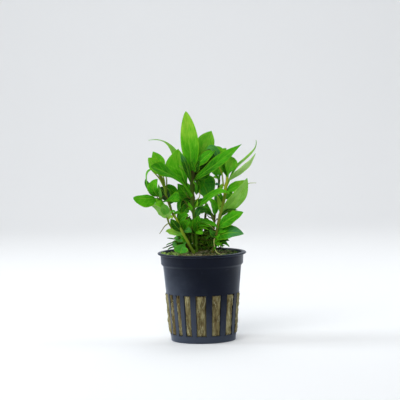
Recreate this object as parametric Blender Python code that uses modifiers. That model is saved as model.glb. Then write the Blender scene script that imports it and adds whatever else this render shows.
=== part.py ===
# A small aquarium plant growing out of a plug of mineral wool in a slotted plastic pot.
# Metres, +Z up. The origin is the centre of the pot's underside, and the plant's best side faces -Y.

import math

import bmesh
import bpy
from mathutils import Vector

MM = 0.001

# Pot
POT_HEIGHT = 50.0 * MM
RIM_RADIUS = 25.0 * MM
RIM_THICKNESS = 1.2 * MM
RIM_INNER_RADIUS = 22.5 * MM
COLLAR_RADIUS = 23.4 * MM
COLLAR_TAPER = 0.3 * MM
COLLAR_BOTTOM = 43.2 * MM
BODY_TOP = 42.0 * MM
BODY_TOP_RADIUS = 22.0 * MM
BODY_BOTTOM_RADIUS = 18.2 * MM
WALL = 1.0 * MM
FLOOR = 1.2 * MM
POT_STEPS = 48

# Bars between the pot's slots, each as its middle and its width in degrees, round from the front
SLOT_BOTTOM = 4.0 * MM
SLOT_TOP = 27.2 * MM
BARS = (
    (10, 9),
    (36, 10),
    (63, 10),
    (90, 10),
    (117, 10),
    (144, 10),
    (171, 10),
    (198, 8),
    (218, 7),
    (236, 7),
    (254, 6),
    (273, 6),
    (292, 6),
    (309.5, 7),
    (325, 7),
    (344, 8),
)

# Wool plug
GAP = 0.3 * MM
WOOL_TOP = 49.0 * MM
WOOL_SHOULDER = 47.6 * MM
WOOL_TOP_RADIUS = 21.4 * MM
WOOL_STEPS = 32

# Stems: radius at the foot, radius at the end, and the centre line's points, all in millimetres
STEM_RESOLUTION = 2
GREEN_STEMS = {
    "centre": (0.90, 0.75, [
        (-3.0, 0.0, 49.8), (-2.5, 0.0, 56.5), (-3.0, -0.5, 62.5), (-3.5, -1.0, 70.5), (-4.5, -1.0, 75.5),
        (-5.0, -1.0, 80.5), (-5.0, -1.0, 86.0), (-4.0, -1.0, 92.0), (-3.0, -0.5, 97.0), (-3.0, 0.0, 100.0),
    ]),
    "front_left": (0.85, 0.55, [
        (-4.5, -7.0, 49.8), (-6.5, -8.0, 55.5), (-9.0, -8.5, 59.5), (-11.0, -9.0, 63.5),
        (-12.5, -9.5, 68.5), (-15.0, -10.0, 73.0),
    ]),
    "right": (0.80, 0.55, [
        (6.0, -4.0, 49.8), (7.5, -5.0, 55.0), (8.5, -6.0, 61.0), (9.5, -6.0, 66.0), (10.5, -6.0, 70.0),
        (11.5, -6.0, 73.5), (12.5, -5.5, 77.5), (13.5, -5.0, 82.5), (14.0, -4.5, 86.5),
        (15.0, -4.0, 90.0), (15.0, -4.0, 92.5),
    ]),
    "right_thin": (0.45, 0.40, [
        (12.8, -2.5, 87.0), (12.5, -1.0, 90.5), (12.0, 0.0, 94.5), (10.5, 1.0, 98.0),
        (10.0, 2.0, 101.5), (9.5, 2.0, 103.5),
    ]),
}
BROWN_STEMS = {
    "left": (0.75, 0.60, [
        (-6.5, 3.0, 49.8), (-9.0, 1.0, 55.0), (-10.5, 0.0, 60.0), (-12.0, 0.0, 64.5), (-13.5, -1.0, 68.0),
        (-16.0, -2.0, 72.0), (-17.5, -2.0, 76.5), (-19.0, -3.0, 81.0), (-20.0, -3.0, 85.0),
        (-20.5, -3.0, 88.5), (-21.5, -3.0, 92.0), (-22.5, -3.0, 95.0),
    ]),
    "left_low": (0.60, 0.45, [
        (-10.5, -3.0, 49.8), (-12.0, -4.0, 55.5), (-13.5, -5.0, 59.5), (-15.5, -5.0, 62.5),
        (-18.0, -5.0, 66.5), (-19.0, -5.0, 70.0), (-20.5, -4.5, 75.5), (-22.0, -4.5, 79.5),
        (-24.0, -4.0, 82.5),
    ]),
    "right_dark": (0.75, 0.60, [
        (4.0, 5.0, 49.8), (5.5, 6.0, 56.0), (7.0, 7.0, 62.5), (7.5, 7.0, 68.5), (8.0, 7.0, 73.0),
        (9.0, 7.0, 78.5), (10.0, 7.0, 84.5), (10.5, 7.0, 89.0), (10.5, 7.0, 93.0),
    ]),
    "back": (0.75, 0.55, [
        (0.0, 9.0, 49.8), (2.0, 10.0, 56.5), (2.0, 11.0, 66.0), (3.0, 12.0, 73.5), (2.0, 12.0, 79.5),
        (0.0, 12.0, 85.0), (-0.5, 11.0, 91.0),
    ]),
}
STEMS = GREEN_STEMS | BROWN_STEMS

# Leaf blade: thickness, the fold along the midrib, and the outline as (share of length, share of width)
LEAF_THICKNESS = 0.5 * MM
LEAF_FOLD = 0.22
LEAF_STEPS = 8
BLADE = ((0.0, 0.14), (0.1, 0.28), (0.3, 0.85), (0.5, 1.0), (0.7, 0.86), (0.85, 0.52), (1.0, 0.06))

# Leaves: stem, height where it leaves the stem, width, the way that its upper face looks, and the
# midrib's points at equal shares of its length, the tip last. Lengths are in millimetres.
LEAVES = {
    "centre_top": ("centre", 98.5, 10.5, (0, -1, 0.1), [(-6.5, -5, 114.5), (-7.5, -4, 129.5)]),
    "centre_long_right": (
        "centre", 91.5, 8.0, (-0.3, -0.7, 0.6), [(5.5, -7, 99.5), (13.5, -10, 104.5), (23.5, -12, 110.5)]
    ),
    "centre_upper_right": ("centre", 95.5, 10.5, (0.1, -0.9, 0.35), [(2.5, 8, 107), (7, 11, 117.5)]),
    "centre_short_right": ("centre", 97.5, 6.5, (-0.2, -0.8, 0.5), [(3, -2, 103.5), (8.5, -2, 107)]),
    "centre_arching_left": (
        "centre", 95.5, 7.0, (-0.3, -0.3, 0.9), [(-10, 7.5, 105), (-18.5, 9.5, 111.5), (-29, 9, 113)]
    ),
    "centre_broad_left": ("centre", 85, 13.0, (0, -0.95, 0.3), [(-13, 2.5, 97.5), (-11.5, 1, 108)]),
    "centre_shaded": ("centre", 90, 6.0, (-0.75, -0.5, 0.3), [(-7.5, -1.5, 99), (-11, -2.5, 106.5)]),
    "centre_big_left": (
        "centre", 80.5, 9.0, (-0.2, -0.6, 0.75), [(-13, -8, 91.5), (-21, -12, 98), (-27.5, -14, 99.5)]
    ),
    "centre_arching_right": (
        "centre", 75.5, 7.0, (0, -0.5, 0.85), [(1.5, -6, 79), (8.5, -9, 84.5), (17, -12, 83)]
    ),
    "centre_edge": ("centre", 89.5, 4.5, (0.9, -0.45, 0), [(-3, -4, 88.5), (-2.5, -4, 82.5)]),
    "centre_low_left": ("centre", 78, 8.0, (-0.2, -0.8, 0.5), [(-9, 2.5, 83), (-13, 3, 88.5)]),
    "centre_hanging": ("centre", 76, 6.0, (-0.3, -0.8, 0.5), [(-9.5, 4, 78.5), (-13, 5, 72.5)]),
    "centre_low_right": ("centre", 68.5, 6.0, (0, -0.6, 0.8), [(4, -6, 68), (9.5, -8, 64)]),
    "back_big_right": ("back", 87, 11.0, (0.3, -0.9, 0.3), [(3.5, 8.5, 87.5), (7, 6.5, 79.5)]),
    "back_low": ("back", 72, 6.5, (0, -0.7, 0.7), [(1, 6, 74.5), (4.5, 3, 70)]),
    "back_rear_left": ("back", 90, 8.0, (0, 0.5, 0.8), [(-6, 17, 96.5), (-13, 22, 100)]),
    "back_rear_right": ("back", 82, 8.5, (0.2, 0.5, 0.8), [(4, 19, 86), (8, 24, 84.5)]),
    "right_top": ("right", 92, 7.5, (0.1, -0.95, 0.3), [(17, -7, 98.5), (20, -8, 102.5)]),
    "right_top_back": ("right", 92, 6.0, (0, -0.9, 0.4), [(14.8, 0, 98.5), (14.5, 1.5, 102.5)]),
    "right_thin_arch": (
        "right", 87.5, 6.0, (-0.5, -0.1, 0.85),
        [(19, -3, 95.5), (25.5, -2.5, 101), (30, -2, 106), (31.5, -2, 112)],
    ),
    "right_pale_arch": (
        "right", 89.5, 7.0, (0.35, -0.6, -0.7), [(20.5, -8, 94), (26.5, -10, 99), (31, -10, 105.5)]
    ),
    "right_middle": ("right", 85, 6.5, (0, -0.75, 0.65), [(20.5, -3, 87), (25.5, -3, 90)]),
    "right_big_pale": ("right", 73, 9.0, (0.3, -0.9, -0.2), [(20.5, -11, 81.5), (26, -12, 92)]),
    "right_dark_edge": ("right", 70, 4.5, (0, -0.4, 0.9), [(16, -5.5, 72.5), (20, -6, 72.5)]),
    "right_low": ("right", 64.5, 9.0, (0, -0.8, 0.6), [(16.5, -11, 69.5), (23.5, -13, 73)]),
    "right_lowest": ("right", 59.5, 9.0, (0.1, -0.7, 0.7), [(16, -11, 62), (23.5, -14, 61)]),
    "right_inner": ("right", 72.5, 7.5, (0, -0.95, 0.3), [(10, 0, 78.5), (8, 2, 84)]),
    "thin_curled": ("right_thin", 101.5, 7.0, (0, -0.4, 0.9), [(8.5, 2.2, 108.5), (3, 2.8, 107.5)]),
    "thin_front": ("right_thin", 100.2, 6.0, (-0.1, -0.7, 0.7), [(11, -2.5, 107), (8, -3.5, 110)]),
    "thin_back": ("right_thin", 103, 6.0, (0, -0.8, 0.6), [(12.5, 8.5, 105.5), (15, 11, 108)]),
    "dark_left": ("right_dark", 90, 5.0, (-0.3, -0.9, 0.3), [(8, 4.5, 94), (7.5, 3, 98.5)]),
    "dark_right": ("right_dark", 90, 4.0, (0.3, -0.9, 0.3), [(12.3, 5, 94), (11.8, 4.5, 98.5)]),
    "dark_rear": ("right_dark", 73, 8.5, (0, 0.4, 0.9), [(12, 15, 77), (16.5, 23, 79)]),
    "left_top_back": ("left", 95, 8.0, (0.1, -0.8, 0.55), [(-24, -1, 101.5), (-26.5, 0, 107)]),
    "left_top_front": ("left", 94.5, 8.0, (0, -0.8, 0.6), [(-26, -7, 100), (-29, -8, 104)]),
    "left_outer_arch": (
        "left", 91, 5.5, (-0.7, -0.15, 0.7), [(-25.5, -4, 95.5), (-29, -4, 95), (-30, -4, 91), (-29.5, -4, 85.5)]
    ),
    "left_behind": ("left", 77, 8.0, (0.1, -0.8, 0.5), [(-15.5, 6, 83.5), (-20, 7, 87.5)]),
    "left_folded": ("left", 79, 7.5, (0.1, -0.85, 0.5), [(-16, -8, 80.5), (-12, -10, 78.5)]),
    "low_rounded": ("left_low", 82, 6.5, (-0.2, -0.95, 0.1), [(-26.5, -7, 87), (-24, -8, 92)]),
    "low_pale": ("left_low", 69.5, 8.0, (-0.3, -0.9, -0.1), [(-23, -6, 74), (-27.5, -7, 77)]),
    "low_overlap": ("left_low", 70.5, 5.5, (0, -1, 0.1), [(-19, -12, 74.5), (-20, -14, 79.5)]),
    "low_outer": ("left_low", 81, 9.0, (0, -0.85, 0.5), [(-30.5, -9.5, 80), (-38, -10.5, 82.5)]),
    "front_dark": ("front_left", 62.5, 5.5, (-0.2, -0.9, 0.3), [(-14.5, -12, 66), (-17, -12, 70)]),
    "front_pale": ("front_left", 60.5, 4.5, (0, -0.8, 0.6), [(-16.5, -7, 62), (-20, -8, 62.5)]),
    "front_bottom": ("front_left", 51.5, 6.5, (0.1, -0.8, 0.6), [(-10, -12, 54), (-15, -15, 52.5)]),
}

# Leaves that turn their pale underside to the front
PALE_LEAVES = ("right_pale_arch", "right_big_pale", "low_pale")

# Tufts of moss and small leaves among the stems: centre and radii in millimetres
TUFTS = {
    "foot_right": ((2.4, -2.2, 56.0), (3.5, 3.6, 6.0)),
    "foot_left": ((-14.3, -8.0, 55.3), (2.8, 2.8, 3.6)),
    "foot_outer": ((12.4, -5.5, 54.4), (3.0, 3.2, 3.2)),
    "middle_left": ((-7.6, -1.5, 65.5), (3.0, 3.0, 5.5)),
    "middle_right": ((2.6, 2.0, 64.8), (3.2, 3.0, 4.0)),
}


def new_material(name, colour, roughness):
    material = bpy.data.materials.new(name)
    material.use_nodes = True
    shader = material.node_tree.nodes["Principled BSDF"]
    shader.inputs["Base Color"].default_value = (*colour, 1.0)
    shader.inputs["Roughness"].default_value = roughness
    shader.inputs["Metallic"].default_value = 0.0
    material.diffuse_color = (*colour, 1.0)
    return material


def add_object(name, mesh, collection, material):
    thing = bpy.data.objects.new(name, mesh)
    collection.objects.link(thing)
    if material:
        thing.data.materials.append(material)
    return thing


def lathe(name, profile, steps, collection, material):
    # The profile runs down the outer side first, from the top, and closes along the axis.
    mesh = bpy.data.meshes.new(name)
    points = [(radius, 0.0, height) for radius, height in profile]
    edges = [(i, i + 1) for i in range(len(points) - 1)]
    on_axis = points[0][0] == 0 and points[-1][0] == 0
    if not on_axis:
        edges.append((len(points) - 1, 0))
    mesh.from_pydata(points, edges, [])
    turned = add_object(name, mesh, collection, material)
    screw = turned.modifiers.new("Turn", "SCREW")
    screw.steps = steps
    screw.render_steps = steps
    screw.use_merge_vertices = True
    screw.merge_threshold = 0.01 * MM
    screw.use_normal_calculate = True
    return turned


def body_radius(height):
    return BODY_BOTTOM_RADIUS + (BODY_TOP_RADIUS - BODY_BOTTOM_RADIUS) * height / BODY_TOP


def make_pot(collection, cutters, material):
    inner_bottom = body_radius(FLOOR) - WALL
    inner_top = BODY_TOP_RADIUS - WALL
    collar_low = COLLAR_RADIUS - COLLAR_TAPER
    rim_low = POT_HEIGHT - RIM_THICKNESS
    profile = [
        (RIM_RADIUS, POT_HEIGHT),
        (RIM_RADIUS, rim_low),
        (COLLAR_RADIUS, rim_low - 0.2 * MM),
        (collar_low, COLLAR_BOTTOM),
        (BODY_TOP_RADIUS, BODY_TOP),
        (BODY_BOTTOM_RADIUS, 0.0),
        (0.0, 0.0),
        (0.0, FLOOR),
        (inner_bottom, FLOOR),
        (inner_top, BODY_TOP),
        (collar_low - WALL, COLLAR_BOTTOM + 0.4 * MM),
        (RIM_INNER_RADIUS, POT_HEIGHT),
    ]
    pot = lathe("net_pot", profile, POT_STEPS, collection, material)
    cut = pot.modifiers.new("Slots", "BOOLEAN")
    cut.operation = "DIFFERENCE"
    cut.object = make_slot_cutter(cutters)
    return pot


def make_slot_cutter(cutters):
    # Each wedge spans the slot between two neighbouring bars and runs through the wall.
    mesh = bpy.data.meshes.new("slot_cutter")
    wedges = bmesh.new()
    for (middle, width), (next_middle, next_width) in zip(BARS, BARS[1:] + BARS[:1]):
        start = middle + width / 2
        end = next_middle - next_width / 2
        if end < start:
            end += 360
        wedge = bmesh.ops.create_cube(wedges, size=2.0)["verts"]
        for vertex in wedge:
            angle = math.radians(end if vertex.co.x > 0 else start)
            radius = RIM_RADIUS if vertex.co.y > 0 else BODY_BOTTOM_RADIUS * 0.7
            height = SLOT_TOP if vertex.co.z > 0 else SLOT_BOTTOM
            vertex.co = (radius * math.sin(angle), -radius * math.cos(angle), height)
    bmesh.ops.recalc_face_normals(wedges, faces=wedges.faces)
    wedges.to_mesh(mesh)
    wedges.free()
    cutter = add_object("slot_cutter", mesh, cutters, None)
    cutter.hide_render = True
    cutter.display_type = "WIRE"
    return cutter


def make_wool(collection, material):
    bottom = FLOOR + GAP
    slack = WALL + GAP
    profile = [
        (0.0, WOOL_TOP),
        (WOOL_TOP_RADIUS * 0.75, WOOL_TOP - 0.3 * MM),
        (WOOL_TOP_RADIUS, WOOL_SHOULDER),
        (WOOL_TOP_RADIUS, COLLAR_BOTTOM + 1.0 * MM),
        (body_radius(BODY_TOP) - slack, BODY_TOP - 0.5 * MM),
        (body_radius(bottom) - slack, bottom),
        (0.0, bottom),
    ]
    return lathe("wool_plug", profile, WOOL_STEPS, collection, material)


def make_stem(name, foot_radius, end_radius, points, collection, material):
    curve = bpy.data.curves.new(name, "CURVE")
    curve.dimensions = "3D"
    curve.bevel_depth = MM
    curve.bevel_resolution = STEM_RESOLUTION
    curve.use_fill_caps = True
    spline = curve.splines.new("POLY")
    spline.points.add(len(points) - 1)
    for index, point in enumerate(points):
        share = index / (len(points) - 1)
        spline.points[index].co = (*(Vector(point) * MM), 1.0)
        spline.points[index].radius = foot_radius + (end_radius - foot_radius) * share
    return add_object(name, curve, collection, material)


def stem_at(stem, height):
    # Centre, direction and radius of a stem at a height, all but the direction in millimetres.
    foot_radius, end_radius, points = STEMS[stem]
    for index in range(len(points) - 1):
        low = Vector(points[index])
        high = Vector(points[index + 1])
        if height <= high.z or index == len(points) - 2:
            along = (height - low.z) / (high.z - low.z)
            share = (index + along) / (len(points) - 1)
            radius = foot_radius + (end_radius - foot_radius) * share
            return low.lerp(high, along), (high - low).normalized(), radius
    raise ValueError(stem)


def between(table, position):
    for (start, low), (end, high) in zip(table, table[1:]):
        if position <= end:
            return low + (high - low) * (position - start) / (end - start)
    return table[-1][1]


def leaf_foot(stem, height, middle):
    # The blade starts just clear of the stem's side, on the side that the leaf leaves it.
    centre, along, radius = stem_at(stem, height)
    away = middle - centre
    away = (away - along * away.dot(along)).normalized()
    return centre + away * (radius + (GAP + LEAF_THICKNESS) / MM)


def midrib_at(points, along):
    # The smooth curve through points at equal shares of the midrib's length.
    last = len(points) - 1
    position = Vector((0.0, 0.0, 0.0))
    for index, point in enumerate(points):
        weight = 1.0
        for other in range(last + 1):
            if other != index:
                weight *= (along * last - other) / (index - other)
        position += point * weight
    return position


def make_leaf(name, stem, height, width, face, midrib, collection, material):
    points = [Vector(point) for point in midrib]
    points.insert(0, leaf_foot(stem, height, points[0]))
    mesh = bpy.data.meshes.new(name)
    blade = bmesh.new()
    bmesh.ops.create_grid(blade, x_segments=2, y_segments=LEAF_STEPS, size=1.0)
    for vertex in blade.verts:
        across = vertex.co.x
        along = (vertex.co.y + 1) / 2
        centre = midrib_at(points, along)
        direction = midrib_at(points, along + 0.01) - midrib_at(points, along - 0.01)
        side = direction.cross(Vector(face)).normalized()
        normal = side.cross(direction.normalized())
        half = width / 2 * between(BLADE, along)
        vertex.co = (centre + side * across * half + normal * abs(across) * half * LEAF_FOLD) * MM
    blade.to_mesh(mesh)
    blade.free()
    leaf = add_object(name, mesh, collection, material)
    thicken = leaf.modifiers.new("Thickness", "SOLIDIFY")
    thicken.thickness = LEAF_THICKNESS
    thicken.offset = 0.0
    return leaf


def make_tuft(name, centre, radii, collection, material):
    mesh = bpy.data.meshes.new(name)
    lump = bmesh.new()
    bmesh.ops.create_icosphere(lump, subdivisions=2, radius=1.0)
    for vertex in lump.verts:
        vertex.co = [(c + r * v) * MM for c, r, v in zip(centre, radii, vertex.co)]
    lump.to_mesh(mesh)
    lump.free()
    return add_object(name, mesh, collection, material)


def shade_round(thing, angle):
    thing.data.shade_smooth()
    thing.data.set_sharp_from_angle(angle=math.radians(angle))


def main():
    for thing in list(bpy.data.objects):
        bpy.data.objects.remove(thing)
    plant = bpy.data.collections.new("potted_plant")
    cutters = bpy.data.collections.new("cutters")
    bpy.context.scene.collection.children.link(plant)
    bpy.context.scene.collection.children.link(cutters)

    plastic = new_material("pot_plastic", (0.035, 0.045, 0.07), 0.45)
    wool = new_material("mineral_wool", (0.30, 0.24, 0.12), 0.95)
    stem_green = new_material("stem_green", (0.20, 0.28, 0.04), 0.5)
    stem_brown = new_material("stem_brown", (0.10, 0.08, 0.02), 0.55)
    leaf_green = new_material("leaf", (0.11, 0.35, 0.03), 0.4)
    leaf_pale = new_material("leaf_pale", (0.22, 0.42, 0.10), 0.5)
    moss = new_material("moss", (0.02, 0.10, 0.015), 0.8)

    make_pot(plant, cutters, plastic)
    make_wool(plant, wool)
    for name, (foot_radius, end_radius, points) in STEMS.items():
        skin = stem_green if name in GREEN_STEMS else stem_brown
        make_stem("stem_" + name, foot_radius, end_radius, points, plant, skin)
    for name, (stem, height, width, face, midrib) in LEAVES.items():
        skin = leaf_pale if name in PALE_LEAVES else leaf_green
        make_leaf("leaf_" + name, stem, height, width, face, midrib, plant, skin)
    for name, (centre, radii) in TUFTS.items():
        shade_round(make_tuft("tuft_" + name, centre, radii, plant, moss), 60)


main()
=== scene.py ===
# The looks of a small aquarium plant growing out of a slotted net pot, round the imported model.
# Metres, +Z up. The origin is the centre of the pot's underside, and the plant's best side faces -Y.
# The constants and tables below are in millimetres and degrees, unless they say otherwise.

import math

import bpy
import numpy as np
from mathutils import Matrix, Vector


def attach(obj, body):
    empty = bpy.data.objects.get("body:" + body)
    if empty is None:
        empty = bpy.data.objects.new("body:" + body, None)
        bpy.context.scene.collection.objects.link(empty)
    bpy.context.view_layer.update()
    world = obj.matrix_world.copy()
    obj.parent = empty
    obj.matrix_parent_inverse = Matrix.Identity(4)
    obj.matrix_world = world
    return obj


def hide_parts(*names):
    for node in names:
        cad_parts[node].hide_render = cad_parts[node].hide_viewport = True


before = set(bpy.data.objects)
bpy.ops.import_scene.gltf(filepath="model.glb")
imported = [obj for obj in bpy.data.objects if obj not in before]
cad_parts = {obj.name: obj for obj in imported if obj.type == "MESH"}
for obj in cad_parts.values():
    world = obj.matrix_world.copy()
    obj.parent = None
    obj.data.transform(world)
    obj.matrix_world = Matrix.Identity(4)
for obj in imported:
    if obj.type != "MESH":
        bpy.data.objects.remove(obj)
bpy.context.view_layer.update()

MM = 0.001

# Camera: where it looks, how far off, and how it is tilted
CAMERA_TARGET = (-0.5, 0.0, 79.2)
CAMERA_DISTANCE = 1200.0
CAMERA_ELEVATION = 4.4
CAMERA_ROLL = 1.1
PICTURE_SIDE = 400
PIXEL = 0.563
SENSOR = 36.0

# Studio, and its lamps: place, width and height, power in watts, colour, and the point shone at
SKY_COLOUR = (0.93, 0.96, 1.0, 1.0)
SKY_STRENGTH = 0.12
PAPER_COLOUR = (0.86, 0.87, 0.88, 1.0)
PAPER_HALF_WIDTH = 2500
PAPER_FRONT = -1500
PAPER_BEND_START = 700
PAPER_BEND = 400
PAPER_TOP = 2400
WHITE = (1, 1, 1)
COOL_WHITE = (0.9, 0.95, 1.0)
PLANT = (0, 0, 70)
LAMPS = {
    "key": ((-260, -680, 640), (700, 700), 6.4, WHITE, PLANT),
    "side_left": ((-620, 60, 180), (300, 700), 4.0, COOL_WHITE, PLANT),
    "side_right": ((620, 40, 180), (300, 700), 2.2, COOL_WHITE, PLANT),
    "top_back": ((60, 420, 700), (600, 400), 1.6, WHITE, PLANT),
    "backdrop": ((0, 300, 900), (1600, 300), 4.6, WHITE, (0, 1100, 300)),
}

# Pot: (outer radius, inner radius, outer height, inner height) down the wall, to the floor's middle
BODY_TOP = 42.0
BODY_TOP_RADIUS = 22.0
BODY_BOTTOM_RADIUS = 18.2
WALL = 1.0
FLOOR = 1.2
BEVEL_WIDTH = 0.15
BEVEL_ANGLE = 50
POT_SMOOTH_BELOW = 35
RIM_AND_COLLAR = (
    (23.6, 23, 50, 50),
    (24.3, 22.7, 49.95, 49.9),
    (24.8, 22.55, 49.75, 49.6),
    (25, 22.5, 49.4, 49.2),
    (24.95, 22.48, 49, 48.9),
    (24.5, 22.46, 48.8, 48.7),
    (23.6, 22.44, 48.65, 48.5),
    (23.4, 22.42, 48.3, 48.2),
    (23.15, 22.1, 43.6, 43.8),
    (22.95, 21.8, 43.2, 43.5),
    (22.2, 21.2, 42.4, 42.8),
)
FOOT = (
    (18.2, 17.2, 0.6, FLOOR),
    (18.0, 16.8, 0.15, FLOOR),
    (17.5, 16.0, 0.0, FLOOR),
    (12.0, 11.4, 0.0, FLOOR),
    (6.0, 5.7, 0.0, FLOOR),
)

# Bars between the pot's slots, each as its middle and its width in degrees, round from the front
SLOT_BOTTOM = 4.0
SLOT_TOP = 27.2
BODY_HEIGHTS = (BODY_TOP, 37.0, 32.0, SLOT_TOP, 21.0, 15.0, 9.0, SLOT_BOTTOM, 2.0)
BARS = (
    (10, 9), (36, 10), (63, 10), (90, 10), (117, 10), (144, 10), (171, 10), (198, 8), (218, 7), (236, 7),
    (254, 6), (273, 6), (292, 6), (309.5, 7), (325, 7), (344, 8),
)

# Wool plug: its top, and its shoulder's radii and heights below that
WOOL_TOP = 49.0
WOOL_TOP_RADIUS = 21.4
WOOL_TOP_ROWS = 34
WOOL_COLUMNS = 360
WOOL_SHOULDER = ((21.4, 47.4), (21.4, 45.5), (21.2, 43.6), (20.7, 42.0))

# The pot's lip as moss and fibres meet it: distances from the middle, and heights there
WOOL_EDGE = 21.2
POT_INSIDE = 21.0
LIP_TOP = 49.95
LIP_PROFILE = ((WOOL_EDGE, 22.6, 24.4), (48.6, 49.9, 49.9))

# Loose fibres, and those over the front lip: where their middle is along X, how high they stand
FIBRES_ON_TOP = 620
FIBRES_AT_LIP = 330
FIBRES_IN_SLOTS = 760
FIBRE_SIDES = 4
FRONT_TUFT = (-0.5, 1.1)

# Moss on the wool: the middle of each patch, its spread, the number of tiny leaves and their tone
MOSS_REACH = 23.9
MOSS_PATCHES = (
    (-19, -7, (1.8, 3), 170, 0.9),
    (-15, -3, (3.2, 3), 170, 0.85),
    (-14, -14.5, (2.2, 2), 110, 0.55),
    (-8.5, -19.5, (2.6, 1.6), 170, 0.5),
    (-1, -20, (3.4, 1.4), 60, 0.45),
    (5.5, -18.5, (2.6, 1.8), 150, 0.35),
    (12, -13, (3, 2.5), 220, 0.3),
    (17.5, -8, (1.8, 3), 170, 0.25),
    (6, -9, (3, 2.5), 150, 0.25),
    (-9, 9, (3.5, 3), 110, 0.45),
    (9, 12, (3.5, 3), 110, 0.4),
    (0, 19, (4.5, 1.6), 90, 0.5),
    (-18, 6, (1.6, 3), 70, 0.5),
    (19, 5, (1.4, 3), 70, 0.35),
)

# Stems: radius at the foot, radius at the end, and the centre line's points
STEM_SIDES = 14
TWIG_SIDES = 8
KNOT_SWELL = 0.18
KNOT_REACH = 1.1
STEMS = {
    "centre": (1, 1.2, [
        (-3, 0, 49.8), (-3, 0, 56.5), (-3.3, -0.5, 63), (-4, -1, 71), (-4.5, -1, 76), (-4.7, -1, 81.5),
        (-4.7, -1, 87.5), (-4.4, -1, 92.5), (-4.2, -0.5, 97), (-3.9, 0, 100),
    ]),
    "front_left": (0.85, 0.6, [
        (-4.4, -6.6, 49.8), (-6.6, -8, 54), (-8.6, -8.5, 58), (-10.7, -9, 62), (-12.7, -9.5, 66.7),
        (-15.2, -10, 73),
    ]),
    "right": (0.9, 0.85, [
        (6, -4, 49.8), (7.5, -5, 55), (8.5, -6, 61), (9.5, -6, 66), (10.5, -6, 70), (11.5, -6, 73.5),
        (12.5, -5.5, 77.5), (13.5, -5, 82.5), (14, -4.5, 86.5), (15, -4, 90), (15, -4, 92.5),
    ]),
    "right_thin": (0.45, 0.4, [
        (12.8, -2.5, 87), (12.5, -1, 90.5), (12, 0, 94.5), (10.5, 1, 98), (10, 2, 101.5), (9.5, 2, 103.5),
    ]),
    "left": (0.75, 0.6, [
        (-6.5, 3, 49.8), (-9, 1, 55), (-10.5, 0, 60), (-12, 0, 64.5), (-13.5, -1, 68), (-16, -2, 72),
        (-17.5, -2, 76.5), (-19, -3, 81), (-20, -3, 85), (-20.5, -3, 88.5), (-21.5, -3, 92),
        (-22.5, -3, 95),
    ]),
    "left_low": (0.6, 0.45, [
        (-10.5, -3, 49.8), (-12, -4, 55.5), (-13.5, -5, 59.5), (-15.5, -5, 62.5), (-18, -5, 66.5),
        (-19, -5, 70), (-20.5, -4.5, 75.5), (-22, -4.5, 79.5), (-24, -4, 82.5),
    ]),
    "right_dark": (0.75, 0.6, [
        (4, 5, 49.8), (5.5, 6, 56), (7, 7, 62.5), (7.5, 7, 68.5), (8, 7, 73), (9, 7, 78.5), (10, 7, 84.5),
        (10.5, 7, 89), (10.5, 7, 93),
    ]),
    "back": (0.75, 0.55, [
        (0, 9, 49.8), (2, 10, 56.5), (2, 11, 66), (3, 12, 73.5), (2, 12, 79.5), (0, 12, 85), (-0.5, 11, 91),
    ]),
}

# How brown each stem is at its foot and its end, and how light it is there. The low lightness at the
# feet of most stems, at the centre stem's end and along the two stems at the back is painted shade
# from the leaves around them.
STEM_TINTS = {
    "centre": (-0.35, 0.85, 0.5, 0.03),
    "front_left": (-0.05, -0.1, 0.72, 0.77),
    "right": (0.7, -0.3, 0.5, 0.88),
    "right_thin": (-0.3, -0.3, 0.78, 0.82),
    "left": (0.8, -0.2, 0.35, 0.8),
    "left_low": (0.95, 0.1, 0.35, 0.74),
    "right_dark": (0.6, 0.7, 0.3, 0.35),
    "back": (0.6, 0.5, 0.2, 0.3),
}
GREEN_STEMS = ("centre", "front_left", "right", "right_thin")

# The ways that many leaves' upper faces look, from the front to more and more up
FRONT = (0, -0.9, 0.4)
FRONT_UP = (0, -0.85, 0.5)
UP = (0, -0.8, 0.6)
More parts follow.
